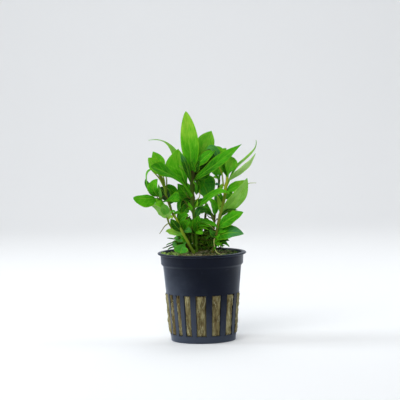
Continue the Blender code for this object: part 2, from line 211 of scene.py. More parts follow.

# Leaves: stem, height where it leaves the stem, width, the way that its upper face looks, tone at
# its foot and its tip, from 0 deep green to 1 light yellow-green, partly the leaf's own green and
# partly painted shade, with low tones on leaves and leaf feet deep in the plant's shade, how much
# painted bluish sheen, a painted reflection, there is there, one number where both are the same,
# and the midrib's points at equal shares of its length, the tip last
LEAVES = {
    "centre_top": ("centre", 95, 10.4, (0, -1, 0.1), (0.36, 0.9), 0, [(-6, -5, 112.8), (-7.5, -4, 129.5)]),
    "centre_long_right": ("centre", 90.5, 7.8, (-0.3, -0.75, 0.5), (0.32, 0.42), 0, [
        (6.4, -7, 98), (14.5, -10, 104.2), (23.2, -12, 110.8)]),
    "centre_upper_right": ("centre", 95.5, 10.4, (0.1, -0.9, 0.35), (0.6, 0.7), (0, 0.04), [
        (1.6, 6, 107.5), (6.8, 11, 117.6)]),
    "centre_short_right": ("centre", 97.5, 6.5, (-0.2, -0.8, 0.5), (0.5, 0.5), 0, [
        (3, -2, 103.5), (8.5, -2, 107)]),
    "centre_arching_left": ("centre", 95.5, 6, (-0.35, -0.5, 0.8), (0.3, 0.55), 0, [
        (-11.3, 5, 102.4), (-17.6, 7, 110.6), (-29, 9, 113)]),
    "centre_broad_left": ("centre", 80.5, 15.5, (0.05, -0.95, 0.3), (-0.2, 0.72), 0, [
        (-8.6, 2, 89), (-11.2, 3, 98.3), (-12.2, 1, 108.2)]),
    "centre_shaded": ("centre", 87.5, 4.6, (-0.5, -0.75, 0.2), (0.08, 0.28), (-2.2, 0.3), [
        (-7.8, -3.2, 98.8), (-11, -4, 106)]),
    "centre_big_left": ("centre", 80.5, 8.6, (-0.25, -0.6, 0.75), (0.52, 0.42), 0, [
        (-10.6, -8, 89.6), (-18.8, -12, 95.4), (-27.6, -14, 99.6)]),
    "centre_arching_right": ("centre", 75.5, 7.6, (0, -0.5, 0.85), (0.36, 0.55), 0, [
        (1.7, -6, 78.4), (8.8, -9, 83.4), (17, -12, 82.6)]),
    "centre_edge": ("centre", 89.5, 4.5, (0.9, -0.45, 0), (0.3, 0.4), 0, [
        (-3, -4, 88.5), (-2.5, -4, 82.5)]),
    "centre_low_left": ("centre", 78, 8, (-0.2, -0.8, 0.5), (0.25, 0.4), 0, [
        (-9, 2.5, 83), (-13, 3, 88.5)]),
    "centre_hanging": ("centre", 76, 6.8, (-0.3, -0.8, 0.5), (0.22, 0.4), 0, [
        (-9.8, 4, 78.5), (-13.2, 5, 72.5)]),
    "centre_low_right": ("centre", 67.3, 4, (0, -0.6, 0.8), (0.25, 0.5), 0, [
        (3.9, -6, 66.8), (9.5, -8, 63.8)]),
    "back_big_right": ("back", 89.5, 16.5, (0.15, -0.9, 0.35), (0.28, 0.4), (0, 0.15), [
        (1.8, 8.5, 86.6), (5.2, 6.5, 78.8)]),
    "back_low": ("back", 72.5, 5.4, (0, -0.7, 0.7), (0.2, 0.35), 0, [(1.6, 6, 75.2), (6, 3, 72)]),
    "back_rear_left": ("back", 90, 8, (0, 0.5, 0.8), (0.3, 0.5), 0, [(-6, 17, 96.5), (-13, 22, 100)]),
    "back_rear_right": ("back", 82, 8.5, (0.2, 0.5, 0.8), (0.25, 0.5), 0, [(4, 19, 86), (8, 24, 84.5)]),
    "right_top": ("right", 92, 7.2, (0.1, -0.95, 0.3), (0.62, 0.75), (0.08, 0.05), [
        (16.8, -7, 98.4), (19.4, -8, 102.8)]),
    "right_top_back": ("right", 92, 6, FRONT, (0.25, 0.35), 0, [(14.8, 0, 98.5), (14.5, 1.5, 102.5)]),
    "right_thin_arch": ("right", 87.5, 6, (-0.5, -0.1, 0.85), (0.5, 0.9), (0, 0.3), [
        (18.7, -3.5, 95), (23.3, -2.5, 100), (29.1, -2, 105.2), (31.5, -2, 112.5)]),
    "right_pale_arch": ("right", 89.5, 5.6, (0.35, -0.6, -0.7), (0.7, 1.0), 0, [
        (20.8, -8, 95), (26.3, -10, 99.8), (31, -10, 105.5)]),
    "right_middle": ("right", 84, 6.8, (0, -0.75, 0.65), (0.55, 0.75), 0, [
        (20.4, -3, 86.5), (25.5, -3, 90)]),
    "right_big_pale": ("right", 73, 9, (0.3, -0.9, -0.2), (0.4, 0.6), 0, [
        (20.5, -11, 81.5), (26, -12, 92)]),
    "right_dark_edge": ("right", 70.3, 2.6, FRONT_UP, (0.02, 0.12), 0, [
        (15, -9.5, 73.5), (20.4, -11.5, 74)]),
    "right_low": ("right", 64.5, 9, UP, (0.35, 0.5), 0, [(16.5, -11, 69.5), (23.5, -13, 73)]),
    "right_lowest": ("right", 58.5, 10, (0.05, -0.75, 0.6), (0.3, 0.45), (-0.9, 0.6), [
        (15, -11, 61.2), (23.5, -14, 60.8)]),
    "right_inner": ("right", 71.5, 2.6, (0.1, -0.95, 0.2), (0.8, 0.95), 0.05, [
        (10.6, -3.5, 76.7), (9, -3, 82)]),
    "thin_curled": ("right_thin", 101.5, 3.8, (0.1, -0.95, 0.25), (0.3, 0.45), (0.35, 0.4), [
        (9.6, -1.2, 105.6), (7.1, -1.5, 108.7), (3.9, -1, 107.6)]),
    "thin_front": ("right_thin", 100.2, 4.4, (-0.1, -0.7, 0.7), (0.55, 0.7), 0, [
        (11.8, 0, 105.7), (9, 0, 109.4)]),
    "thin_back": ("right_thin", 103, 5, UP, (0.45, 0.6), 0, [(12.5, 8.5, 105.2), (15, 11, 107.6)]),
    "dark_left": ("right_dark", 90, 4.6, (-0.3, -0.9, 0.3), (0.45, 0.55), 0.05, [
        (8.6, 4.5, 94.4), (7.4, 3, 99)]),
    "dark_right": ("right_dark", 90, 4.4, (0.3, -0.9, 0.3), (0.45, 0.55), 0.05, [
        (11.1, 5, 94.2), (12, 4.5, 99.4)]),
    "dark_rear": ("right_dark", 73, 8.5, (0, 0.4, 0.9), (0.3, 0.5), 0, [(12, 15, 77), (16.5, 23, 79)]),
    "left_top_back": ("left", 95, 8, (0.1, -0.8, 0.55), (0.55, 0.7), 0, [
        (-24, -1, 101.5), (-26.5, 0, 107)]),
    "left_top_front": ("left", 94.5, 8, UP, (0.6, 0.8), 0, [(-26, -7, 100), (-29, -8, 104)]),
    "left_outer_arch": ("left", 91, 3.6, (-0.7, -0.15, 0.7), (0.5, 0.6), 0, [
        (-26, -4, 97), (-29.3, -4, 95.8), (-30.2, -4, 92), (-29.8, -4, 85)]),
    "left_behind": ("left", 77, 7.5, (0.1, -0.8, 0.5), (0.35, 0.5), 0, [
        (-17.3, 5, 82.6), (-20.6, 6.5, 86.4)]),
    "left_folded": ("left_low", 78.5, 6.6, (0.1, -0.9, 0.35), (0.4, 0.45), 0, [
        (-17.2, -6, 79.6), (-12, -7, 79.8)]),
    "low_rounded": ("left_low", 82, 6.5, (-0.2, -0.95, 0.1), (0.3, 0.6), 0, [
        (-26.5, -7, 87), (-24, -8, 92)]),
    "low_pale": ("left_low", 69.5, 8.5, (-0.3, -0.9, -0.1), (0.65, 0.85), 0, [
        (-22.2, -6, 74.7), (-28, -7, 77)]),
    "low_overlap": ("left_low", 71.5, 5, (0, -1, 0.1), (0.75, 0.75), 0.3, [
        (-20.4, -11, 75.8), (-21, -13, 78.2)]),
    "low_outer": ("left_low", 81, 8.2, FRONT_UP, (0.35, 0.55), 0, [
        (-29.6, -9.5, 81.4), (-37.8, -10.5, 82)]),
    "front_dark": ("front_left", 62.5, 5, (-0.2, -0.9, 0.3), (0.1, 0.15), 0, [
        (-14.8, -10.2, 66.4), (-17, -11, 70)]),
    "front_pale": ("front_left", 60.5, 4.5, UP, (0.8, 0.95), 0.25, [(-16.5, -7, 62), (-20, -8, 62.5)]),
    "front_bottom": ("front_left", 56.5, 8.4, (-0.1, -0.9, 0.4), (0.45, 0.5), (0.3, 0.2), [
        (-10.4, -11, 54.6), (-12, -14.5, 50.6)]),
}

# Leaves that turn their pale underside to the front
PALE_LEAVES = ("right_pale_arch", "right_big_pale", "low_pale", "centre_arching_left")

# A leaf's usual shape, and how others differ from it: belly, the share of the length where it is
# widest; full, how slender its foot and its tip are; fold in degrees; wave of the blade; stalk, the
# stalk's half width; start, the share of the length that is bare stalk; sides, the widths of the
# left and the right half against the usual
USUAL = {
    "belly": 0.45, "full": (0.8, 0.9), "fold": 14.0, "wave": 0.25, "stalk": 0.45, "start": 0.03,
    "sides": (1.0, 1.0),
}
SHAPES = {
    "centre_top": {"belly": 0.46, "full": (0.8, 0.7), "fold": 8, "sides": (0.93, 1.03)},
    "centre_long_right": {"belly": 0.52, "full": (0.45, 0.95), "fold": 16, "sides": (0.9, 1.05)},
    "centre_upper_right": {"belly": 0.62, "full": (1, 1.05), "fold": 10},
    "centre_short_right": {"fold": 8},
    "centre_arching_left": {"belly": 0.3, "full": (0.8, 1.9), "sides": (1.15, 0.45)},
    "centre_broad_left": {"belly": 0.66, "full": (1.8, 0.95), "sides": (1.2, 0.6)},
    "centre_shaded": {"belly": 0.5, "full": (1, 0.9)},
    "centre_big_left": {"belly": 0.8, "full": (0.62, 0.9), "wave": 0.4, "stalk": 0.8, "sides": (1, 1.3)},
    "back_big_right": {"full": (0.6, 0.7), "sides": (0.86, 0.78)},
    "right_top": {"belly": 0.64, "full": (0.9, 0.32)},
    "right_middle": {"full": (0.7, 0.8), "sides": (1, 0.8)},
    "right_low": {"full": (0.7, 0.8), "sides": (0.82, 1.05)},
    "right_lowest": {"belly": 0.42, "full": (0.6, 0.75)},
    "right_inner": {"full": (0.7, 0.7)},
    "thin_curled": {"fold": 4, "full": (0.5, 0.6), "start": 0.1},
    "dark_left": {"belly": 0.65, "full": (1.3, 0.8)},
    "dark_right": {"belly": 0.65, "full": (1.3, 0.8)},
    "left_behind": {"full": (0.6, 0.7)},
    "left_folded": {"belly": 0.85, "full": (0.45, 0.35), "sides": (1.5, 0.45)},
    "low_rounded": {"full": (0.7, 0.7)},
    "low_pale": {"belly": 0.4, "full": (0.6, 1), "sides": (0.7, 1.1)},
    "low_overlap": {"full": (0.6, 0.6)},
    "low_outer": {"full": (0.6, 0.7), "start": 0.2, "belly": 0.6, "sides": (1.5, 0.45)},
    "front_bottom": {"belly": 0.85, "full": (0.5, 0.3), "start": 0.2},
}

# Small leaves, joined by the part of the plant where they grow, and given as the leaves are
SMALL_LEAVES = {
    "middle": [
        ("centre", 94.8, 7, FRONT, (0.05, 0.15), 0, [(2, 1, 99), (7.5, 1.5, 102.5)]),
        ("centre", 92, 6, FRONT, (0, 0.1), 0, [(1.5, 2, 97), (5.5, 3, 99)]),
        ("centre", 79, 5.5, (0, -0.9, 0.3), (0.05, 0.15), 0, [(-8.5, 1, 77.5), (-10.5, 2, 71.5)]),
        ("centre", 79.5, 5.5, (-0.2, -0.9, 0.3), (0.25, 0.4), 0, [(-7, 1.5, 85), (-8.5, 2.5, 89)]),
        ("centre", 75, 6, FRONT, (0.15, 0.3), 0, [(-8, 0, 74.5), (-10.5, 0, 70.5)]),
        ("centre", 73, 2.5, (-0.3, -0.9, 0.2), (0.5, 0.6), 0, [(-6, -2, 75.5), (-7, -2.5, 78.5)]),
        ("centre", 76, 4, FRONT, (0.12, 0.22), 0, [(-1, -3, 78), (3, -4, 80.5)]),
        ("centre", 75, 1.6, (0.3, -0.9, 0.2), (0.7, 0.9), 0, [(-2.5, -3.5, 76.5), (-2, -4, 79.5)]),
        ("centre", 72, 4.5, (0, -0.8, 0.5), (0.15, 0.3), 0.2, [(0, 1, 73), (3.5, 3, 73)]),
        ("right_dark", 69, 2.6, FRONT_UP, (0.15, 0.3), 0.1, [(4, 5, 71.5), (0, 4.5, 73.5)]),
        ("centre", 69, 4.6, FRONT_UP, (0.15, 0.25), 0.15, [(-0.5, -3, 73.5), (3, -4, 72)]),
        ("right_dark", 73, 3.6, (-0.3, -0.9, 0.2), (0.15, 0.25), 0.2, [(9, 3, 77), (8, 3.5, 82.5)]),
        ("right_dark", 70, 4.4, (0.3, -0.9, 0.2), (0.45, 0.5), 0, [(7.5, 2, 75.5), (5, 2.5, 80)]),
        ("centre", 62, 4, (-0.2, -0.9, 0.3), (0.3, 0.4), 0, [(-5, -3, 65), (-6.5, -4, 67.5)]),
        ("centre", 65.5, 3.5, FRONT, (0.3, 0.45), 0, [(0, -2.5, 67.5), (2.5, -3.5, 66)]),
        ("centre", 64, 4.5, (0, -0.7, 0.6), (0.25, 0.45), 0, [(2, -5, 66), (6, -7, 64)]),
        ("centre", 60.5, 5.5, (0.2, -0.95, 0.2), (0.25, 0.4), 0, [(-2.5, -3, 66.5), (-1, -3.5, 70.5)]),
        ("centre", 60, 5, (-0.2, -0.95, 0.2), (0.2, 0.3), 0, [(-4.5, -3, 65.5), (-5, -3.5, 69)]),
        ("centre", 61.5, 4.5, (0, -0.8, 0.5), (0.1, 0.25), 0, [(1, -3.5, 64.5), (5.5, -4.5, 62.5)]),
        ("centre", 62, 1.8, UP, (0.6, 0.7), 0, [(0.5, -4.5, 64), (4, -5.5, 62.5)]),
        ("centre", 62, 4, FRONT, (0.5, 0.65), 0, [(-1, -3.5, 61.5), (1, -4, 60.5)]),
        ("right_dark", 62, 6, FRONT, (0.05, 0.2), 0, [(4.5, 3, 64), (1.5, 1, 65)]),
        ("centre", 93, 6.5, FRONT, (0.22, 0.35), 0, [(-1, 3, 89.5), (0, 3.5, 85)]),
        ("centre", 95, 4.5, (-0.2, -0.95, 0.2), (0.2, 0.35), 0, [(-4.5, -2.5, 97.5), (-5.5, -3, 102.5)]),
        ("centre", 95, 4.5, (0.3, -0.9, 0.3), (0.1, 0.25), 0, [(-2.5, -2, 97.5), (-0.5, -2.5, 101.5)]),
        ("centre", 97, 8.5, (0, -0.9, 0.35), (0.05, 0.15), 0.15, [(4.5, 4, 103), (9.5, 4.5, 107)]),
        ("centre", 92.5, 6, (0, -0.9, 0.35), (0.2, 0.3), 0, [(1.5, 4, 92.5), (5.5, 5, 94)]),
        ("centre", 88, 4.6, (0, -0.9, 0.35), (0.2, 0.35), 0, [(-2.5, 1.5, 86), (-2.5, 2, 82)]),
        ("centre", 99.3, 3.4, (0.1, 0.9, 0.3), (0.35, 0.5), 0, [(-3.5, 2, 103), (-3.5, 3, 106)]),
        ("centre", 98.8, 2.8, (-0.3, 0.9, 0.3), (0.3, 0.4), 0, [(-4.5, 2, 101), (-6, 3.5, 104)]),
    ],
    "left": [
        ("left_low", 82.4, 3.8, (0.2, -0.9, 0.4), (0.2, 0.3), 0, [(-29, -1, 87), (-31, 0, 91.5)]),
        ("left_low", 79, 1.8, (0.1, -0.9, 0.2), (0.7, 0.8), 0.35, [(-23, -6, 85), (-23.5, -6, 89)]),
        ("left", 78, 7, FRONT, (-0.1, 0), 0.1, [(-21, 3.5, 83.5), (-23, 4, 86.5)]),
        ("left", 87, 6, (0.1, -0.8, 0.6), (0.35, 0.4), 0, [(-16, 2, 84.5), (-12, 1, 80)]),
        ("left_low", 77.5, 3.6, FRONT, (0.6, 0.7), 0, [(-24, -7, 79), (-26.5, -8, 80.5)]),
        ("left_low", 74, 4, FRONT, (0.55, 0.7), 0, [(-22.5, -9, 77.5), (-26, -9.5, 78)]),
        ("left_low", 69, 2.5, UP, (0.9, 1), 0, [(-17, -6.5, 70.5), (-16, -7, 69.5)]),
        ("front_left", 72.5, 2.2, (0, -0.5, 0.85), (0.5, 0.6), 0, [(-15.5, -11, 74), (-17.5, -11, 72.5)]),
        ("front_left", 72, 2.5, (0, -0.6, 0.8), (0.4, 0.5), 0, [(-13, -9.5, 73), (-11, -9, 71.5)]),
        ("left", 67, 5, FRONT, (0.3, 0.4), 0, [(-10, -2, 70), (-7, -3, 71)]),
        ("left", 66, 4, (-0.2, -0.9, 0.2), (0.2, 0.3), 0, [(-11.5, 1, 71.5), (-10, 1.5, 75.5)]),
        ("left", 63, 4.5, (0.1, -0.9, 0.3), (0.3, 0.45), 0, [(-9, -3, 66), (-6.5, -3.5, 69)]),
        ("left", 61, 5, UP, (0.2, 0.45), 0.3, [(-8.5, -4, 62.5), (-5.5, -5, 61.5)]),
        ("left", 62, 4, (0, -0.9, 0.3), (0.1, 0.25), 0, [(-10, 2, 66.5), (-8.5, 2, 70.5)]),
        ("left", 59, 4.5, FRONT_UP, (0.2, 0.3), 0, [(-10.5, -3, 64.5), (-11.5, -4, 68)]),
        ("left", 57, 5, FRONT_UP, (0.1, 0.25), 0, [(-8, 0, 59), (-6, 0, 61)]),
        ("left", 56, 4.5, FRONT_UP, (0.15, 0.3), 0, [(-11, -1, 59.5), (-13, -1, 62)]),
    ],
    "right": [
        ("right_dark", 92, 2.6, UP, (0.75, 0.9), 0, [(9, 6.5, 91.5), (7, 6, 91.5)]),
        ("right_dark", 88, 2.4, UP, (0.3, 0.35), 0.9, [(9.5, 6, 87.5), (8, 5.5, 87.5)]),
        ("right_dark", 86, 3, (0.1, -0.9, 0.3), (0.8, 0.95), 0, [(11.5, 6, 86), (12.5, 5.5, 88)]),
        ("right", 80, 5, (0.2, -0.9, 0.3), (0.5, 0.6), 0, [(15.5, -2, 82), (17.5, -1, 84.5)]),
        ("right", 72, 3, UP, (0.8, 0.95), 0, [(15.5, -3.5, 74), (19, -3, 75)]),
        ("right", 75, 4.4, (-0.2, -0.95, 0.2), (0.3, 0.45), 0, [(11.5, -1, 78.5), (11, -1, 83.5)]),
        ("right", 59.5, 3.8, (-0.1, -0.9, 0.4), (0.2, 0.35), 0.1, [(6.5, -7, 60.5), (4.5, -8, 63)]),
        ("right", 59, 3.5, UP, (0.45, 0.6), 0, [(9, -8, 59), (11.5, -9, 57)]),
        ("right", 61, 5.5, UP, (0.4, 0.5), 0, [(13.5, -8, 63.5), (19.5, -9, 63.5)]),
        ("right", 57, 4.5, UP, (0.2, 0.3), 0, [(10, -6, 59), (13.5, -7, 58.5)]),
        ("right", 56, 3, UP, (0.1, 0.2), 0, [(12, -9, 57), (15.5, -10, 57)]),
        ("right", 56, 1.6, UP, (0.4, 0.5), 0.5, [(12, -7, 56.5), (15, -8, 53.5)]),
        ("right", 57, 2.5, UP, (0.5, 0.6), 0, [(9.5, -8, 56.5), (11, -9, 54)]),
        ("right", 55, 2.5, UP, (0.5, 0.6), 0, [(8.5, -8, 55.5), (9.5, -9, 53)]),
        ("right", 55.5, 1.5, UP, (0.3, 0.4), 0, [(13, -8, 55), (15.5, -9, 53)]),
        ("right", 54.5, 1.3, UP, (0.15, 0.25), 0, [(10.5, -8, 55), (12, -10, 52.5)]),
        ("right", 54, 1.5, UP, (0.15, 0.3), 0, [(7.5, -9, 53.5), (6.5, -11, 51.5)]),
        ("right", 57.5, 1.6, UP, (0.15, 0.3), 0, [(12.5, -8, 59), (16, -9, 58)]),
        ("right", 58.5, 1.8, UP, (0.3, 0.4), 0, [(11, -8, 61), (13.5, -9, 61)]),
        ("right", 56, 1.6, UP, (0.3, 0.4), 0, [(8.5, -8.5, 57.5), (7, -10, 55.5)]),
        ("right_dark", 92.6, 3.2, (0.1, 0.8, 0.6), (0.3, 0.45), 0, [(11, 9, 95), (10.5, 12.5, 97)]),
    ],
    "foot_left": [
        ("left_low", 57.5, 5, FRONT_UP, (0.4, 0.55), 0.4, [(-13, -8, 58), (-15.5, -9, 59)]),
        ("left_low", 54.5, 5, FRONT_UP, (0.5, 0.6), 0.5, [(-14, -9, 55), (-16.5, -10, 55)]),
        ("left_low", 54, 3, (0.3, -0.8, 0.5), (0.05, 0.1), 0.3, [(-12, -8.5, 54.5), (-14, -10, 52.5)]),
        ("left_low", 57, 2.5, UP, (0.8, 0.8), 0, [(-11, -6, 57.5), (-9.5, -6.5, 56)]),
        ("front_left", 56, 3.5, UP, (0.3, 0.45), 0, [(-10, -8, 58.5), (-12, -8.5, 59.5)]),
        ("left_low", 57.5, 0.9, UP, (0.2, 0.3), 0, [(-17, -9, 58.5), (-19.5, -10, 59)]),
        ("left_low", 56, 0.9, UP, (0.15, 0.25), 0, [(-18.5, -11, 54.5), (-21.5, -15, 53.5)]),
        ("left_low", 54, 1.1, UP, (0.2, 0.3), 0, [(-17, -10, 53.5), (-19, -13, 52.5)]),
        ("left_low", 56.5, 0.9, UP, (0.2, 0.35), 0, [(-17.5, -10, 56), (-20, -13, 55)]),
        ("left", 52, 2.4, UP, (-0.1, 0), 0, [(-6, -2, 52.5), (-5, -2, 55)]),
        ("centre", 51.5, 2.4, UP, (-0.1, 0), 0, [(-5, -2, 52.5), (-6, -3, 55)]),
    ],
}

# Twigs and leaf stalks with no leaf of their own: stem, height on it, radius, how brown and how light
# it is, and the points after the one on the stem
TWIGS = [
    ("left", 84.5, 0.4, 0.1, 0.74, [(-22, -3.5, 92.5), (-23.5, -5, 97)]),
    ("left", 84, 0.38, 0.2, 0.72, [(-20.5, -5, 92), (-22, -6, 95.5)]),
    ("left", 82.5, 0.42, 0.1, 0.65, [(-19, -2, 90.5), (-19.5, -1, 93.5)]),
    ("left", 79, 0.35, 0.8, 0.3, [(-20.5, -6, 82.5), (-23, -8, 80.5), (-25, -8.5, 83)]),
    ("left", 86, 0.5, 0, 0.79, [(-23, -4, 92), (-27, -4.5, 96.5)]),
    ("left", 85, 0.4, 0.2, 0.72, [(-22.5, -4.5, 92.5), (-25, -5, 96.5)]),
    ("centre", 89.5, 0.38, 0.45, 0.25, [(-2, -2.5, 86), (-2, -3, 90.5)]),
    ("centre", 78.5, 0.34, 0.1, 0.78, [(-1, 0, 80.5), (-0.5, 0, 85)]),
    ("centre", 81, 0.3, 0.85, 0.4, [(-6.5, -2, 80.5), (-8.5, -2, 84)]),
    ("centre", 73.5, 0.28, 0.6, 0.4, [(-7.5, -2.5, 76.5), (-9.5, -3, 79.5)]),
    ("centre", 70, 0.32, 0.6, 0.3, [(-6, -1.5, 74), (-8.5, -1.5, 76)]),
    ("centre", 66, 0.35, 0.6, 0.3, [(-6, -3.5, 66), (-8.5, -3.5, 70.5)]),
    ("right_dark", 72.5, 0.32, 0.3, 0.5, [(6, 5, 76.5), (4.5, 4, 79.5)]),
    ("back", 76, 0.34, 0.3, 0.5, [(2.5, 6, 74.5), (3, 5, 77.5)]),
    ("right_dark", 65, 0.35, 0.2, 0.6, [(6.5, 3, 69), (5.5, 2, 71.5)]),
    ("right", 66.5, 0.32, 0.3, 0.15, [(9, 0, 68.5), (8, 4, 66.5)]),
    ("right_dark", 66, 0.3, 0.2, 0.3, [(6, 5, 68.5), (5.5, 4, 71.5)]),
    ("right_dark", 67.5, 0.32, 0.3, 0.5, [(4.5, 5, 69), (3.5, 4, 70.5)]),
    ("right_dark", 92, 0.4, 0, 0.8, [(11, 6, 95), (9.5, 5.5, 98)]),
    ("right", 86.5, 0.4, 0.9, 0.2, [(14.5, -2.5, 90.5), (14.5, -1, 94)]),
    ("right", 75, 0.22, -0.3, 0.84, [
        (17.5, -7.5, 79), (23, -9, 85), (26.5, -10, 88.5), (28.5, -11, 89), (31, -11, 89)]),
    ("left_low", 57.5, 0.22, 0.6, 0.12, [(-16.5, -9, 55.5), (-19.5, -13, 54.5), (-22, -17, 54)]),
    ("left", 51.5, 0.5, 0.5, 0.3, [(-7, -2, 58), (-8, -2.5, 63)]),
    ("centre", 51, 0.48, 0.3, 0.4, [(-5, -3, 56), (-5.5, -3.5, 61.5), (-6, -3, 66)]),
    ("centre", 56, 0.16, 0.9, 0.2, [(-1, -4.5, 58), (2.5, -5.5, 57), (6, -6, 57.5)]),
    ("centre", 53.5, 0.16, 0.9, 0.25, [(-0.5, -5, 55), (3, -6, 53), (6.5, -7, 53.5)]),
    ("right", 55.5, 0.3, 0.4, 0.5, [(10, -8, 54.5), (11.5, -9, 52.5)]),
]

# Roots, given as the twigs are
ROOTS = [
    ("left_low", 67, 0.3, 0.65, 0.75, [(-20.5, -8, 65.5), (-22, -9.5, 63.5), (-23.5, -10.5, 61.5)]),
    ("right", 58, 0.25, -0.1, 0.97, [
        (7, -8.5, 57.5), (7, -9, 54.5), (7.5, -10, 52), (8.5, -12, 50.5), (10, -15, 50), (12.5, -16.5, 50)]),
    ("centre", 64, 0.12, -0.1, 0.97, [(1.5, -4.5, 65), (4, -7.6, 66), (5.5, -9.2, 65), (7.5, -9.2, 63)]),
]

# Thickets of dark leaves that grow straight off the stems, whose low tones are painted shade inside
# the plant: stem, lowest and highest leaf, middle and reach of the thicket, number of leaves, their
# widths and their tones
THICKET_BOTTOM = 50.2
THICKETS = {
    "right": [
        ("centre", (50.5, 62.5), (2, 3.2, 56.6), (6, 4, 6.6), 44, (2.2, 4), (-0.1, 0)),
        ("right", (50.5, 61), (5, -3.5, 56), (4.6, 5, 6.4), 30, (2, 3.6), (-0.1, 0.1)),
        ("right_dark", (50.5, 62), (4.5, 3, 57), (4.8, 4.5, 6.5), 24, (2.2, 4), (-0.1, 0.1)),
    ],
    "left": [
        ("left", (50.5, 66), (-8.5, 2, 58.5), (5, 4, 8.5), 34, (2.2, 4.2), (0.1, 0.4)),
        ("centre", (52, 68), (-6, 3.5, 61), (3.8, 3.5, 7.5), 26, (2.2, 3.8), (0.1, 0.35)),
    ],
}

# Clumps of small dark leaves, whose low tones are painted shade deep in the plant: the middle and
# the reach of each, the stem and height that its twig leaves, the number of leaves, their widths and
# their tones
TURN_PER_LEAF = 2.4
CLUMPS = {
    "foot_right": ((2.4, -2.2, 56), (3.5, 3.6, 6), "centre", 50.5, 60, (1.8, 3), (-0.1, 0.02)),
    "foot_left": ((-14.3, -8, 55.3), (2.8, 2.8, 3.6), "left_low", 51, 34, (1, 2), (0, 0.3)),
    "foot_outer": ((10.8, -4.5, 55.4), (3, 2.8, 3), "right", 50.5, 26, (0.9, 1.9), (0.1, 0.45)),
    "middle_left": ((-7.6, -1.5, 65.5), (3, 3, 5.5), "centre", 59, 34, (1.8, 3), (-0.1, 0.15)),
    "middle_right": ((2.6, 2, 64.8), (3.2, 3, 4), "centre", 59, 30, (1.8, 3), (-0.1, 0.15)),
}

# Leaf blade: the rows of points along it and the columns on each half, by the kind of leaf
LEAF_GRID = (36, 6)
SMALL_LEAF_GRID = (20, 4)
THICKET_GRID = (14, 3)
CLUMP_GRID = (12, 3)
MOSS_GRID = (5, 1)
LEAF_THICKNESS = 0.28
RIB_DEPTH = 0.22
GROOVE = 0.10
VEINS = 7
VEIN_SLOPE = 0.22
QUILT = 0.07
WAVE_TURNS = (1.4, 2.6)

# Colours, those with a number by the tone that they stand for
GREENS = (
    (0.0, (0.002, 0.017, 0.001)),
    (0.2, (0.012, 0.095, 0.002)),
    (0.45, (0.042, 0.285, 0.003)),
    (0.7, (0.105, 0.425, 0.010)),
    (0.85, (0.215, 0.500, 0.028)),
    (1.0, (0.340, 0.570, 0.045)),
)
PALE_GREENS = (
    (0.0, (0.050, 0.170, 0.014)),
    (0.5, (0.160, 0.410, 0.042)),
    (1.0, (0.380, 0.600, 0.190)),
)
# The bluish green of a painted reflection on the leaves
PAINTED_SHEEN_GREEN = (0.060, 0.200, 0.105)
# The lime of a painted highlight along the leaves' margins
MARGIN_HIGHLIGHT_GREEN = (0.22, 0.42, 0.012)
STEM_GREENS = (
    (0.00, (0.006, 0.026, 0.002)),
    (0.40, (0.045, 0.135, 0.008)),
    (0.72, (0.140, 0.245, 0.018)),
    (0.86, (0.360, 0.420, 0.024)),
    (1.00, (0.500, 0.520, 0.200)),
)
STEM_BROWNS = ((0.0, (0.010, 0.007, 0.002)), (1.0, (0.240, 0.175, 0.045)))
PLASTIC_COLOURS = ((0.3, (0.0015, 0.003, 0.008)), (0.7, (0.003, 0.005, 0.014)))
SCUFF_COLOUR = (0.045, 0.050, 0.075)
SCRATCH_COLOUR = (0.07, 0.08, 0.11)
# The pale blue-grey of a painted reflection on the pot's lower left
PAINTED_REFLECTION_COLOUR = (0.056, 0.070, 0.098)
WOOL_COLOURS = (
    (0.32, (0.020, 0.014, 0.006)),
    (0.44, (0.105, 0.080, 0.034)),
    (0.56, (0.220, 0.190, 0.090)),
    (0.74, (0.400, 0.370, 0.200)),
)
WOOL_TOP_COLOURS = (
    (0.35, (0.010, 0.012, 0.004)),
    (0.50, (0.050, 0.055, 0.016)),
    (0.70, (0.130, 0.140, 0.045)),
)
# The pale tan of a painted highlight at the wool's outer left and right
WOOL_SIDE_HIGHLIGHT_COLOUR = (0.40, 0.37, 0.21)
WOOL_MOSS_COLOUR = (0.020, 0.060, 0.008)
FIBRE_COLOURS = (
    (0.0, (0.040, 0.025, 0.008)),
    (0.5, (0.170, 0.150, 0.060)),
    (1.0, (0.400, 0.380, 0.230)),
)
MOSS_COLOURS = (
    (0.0, (0.006, 0.022, 0.003)),
    (0.5, (0.050, 0.120, 0.014)),
    (1.0, (0.360, 0.520, 0.130)),
)


def unit(vectors):
    vectors = np.asarray(vectors, float)
    return vectors / np.maximum(np.linalg.norm(vectors, axis=-1, keepdims=True), 1e-9)


def smooth(low, high, value):
    share = np.clip((np.asarray(value, float) - low) / (high - low), 0, 1)
    return share * share * (3 - 2 * share)


def around(degrees):
    # Level directions at angles round the pot, counted from the front.
    turn = np.radians(degrees)
    return np.column_stack([np.sin(turn), -np.cos(turn), np.zeros(len(turn))])


def body_radius(height):
    return BODY_BOTTOM_RADIUS + (BODY_TOP_RADIUS - BODY_BOTTOM_RADIUS) * height / BODY_TOP


def pot_slots():
    # Start and end of each slot in degrees, from the end of one bar to the start of the next.
    for (middle, width), (after, after_width) in zip(BARS, BARS[1:] + BARS[:1]):
        start = middle + width / 2
        end = after - after_width / 2
        yield start, end if end > start else end + 360


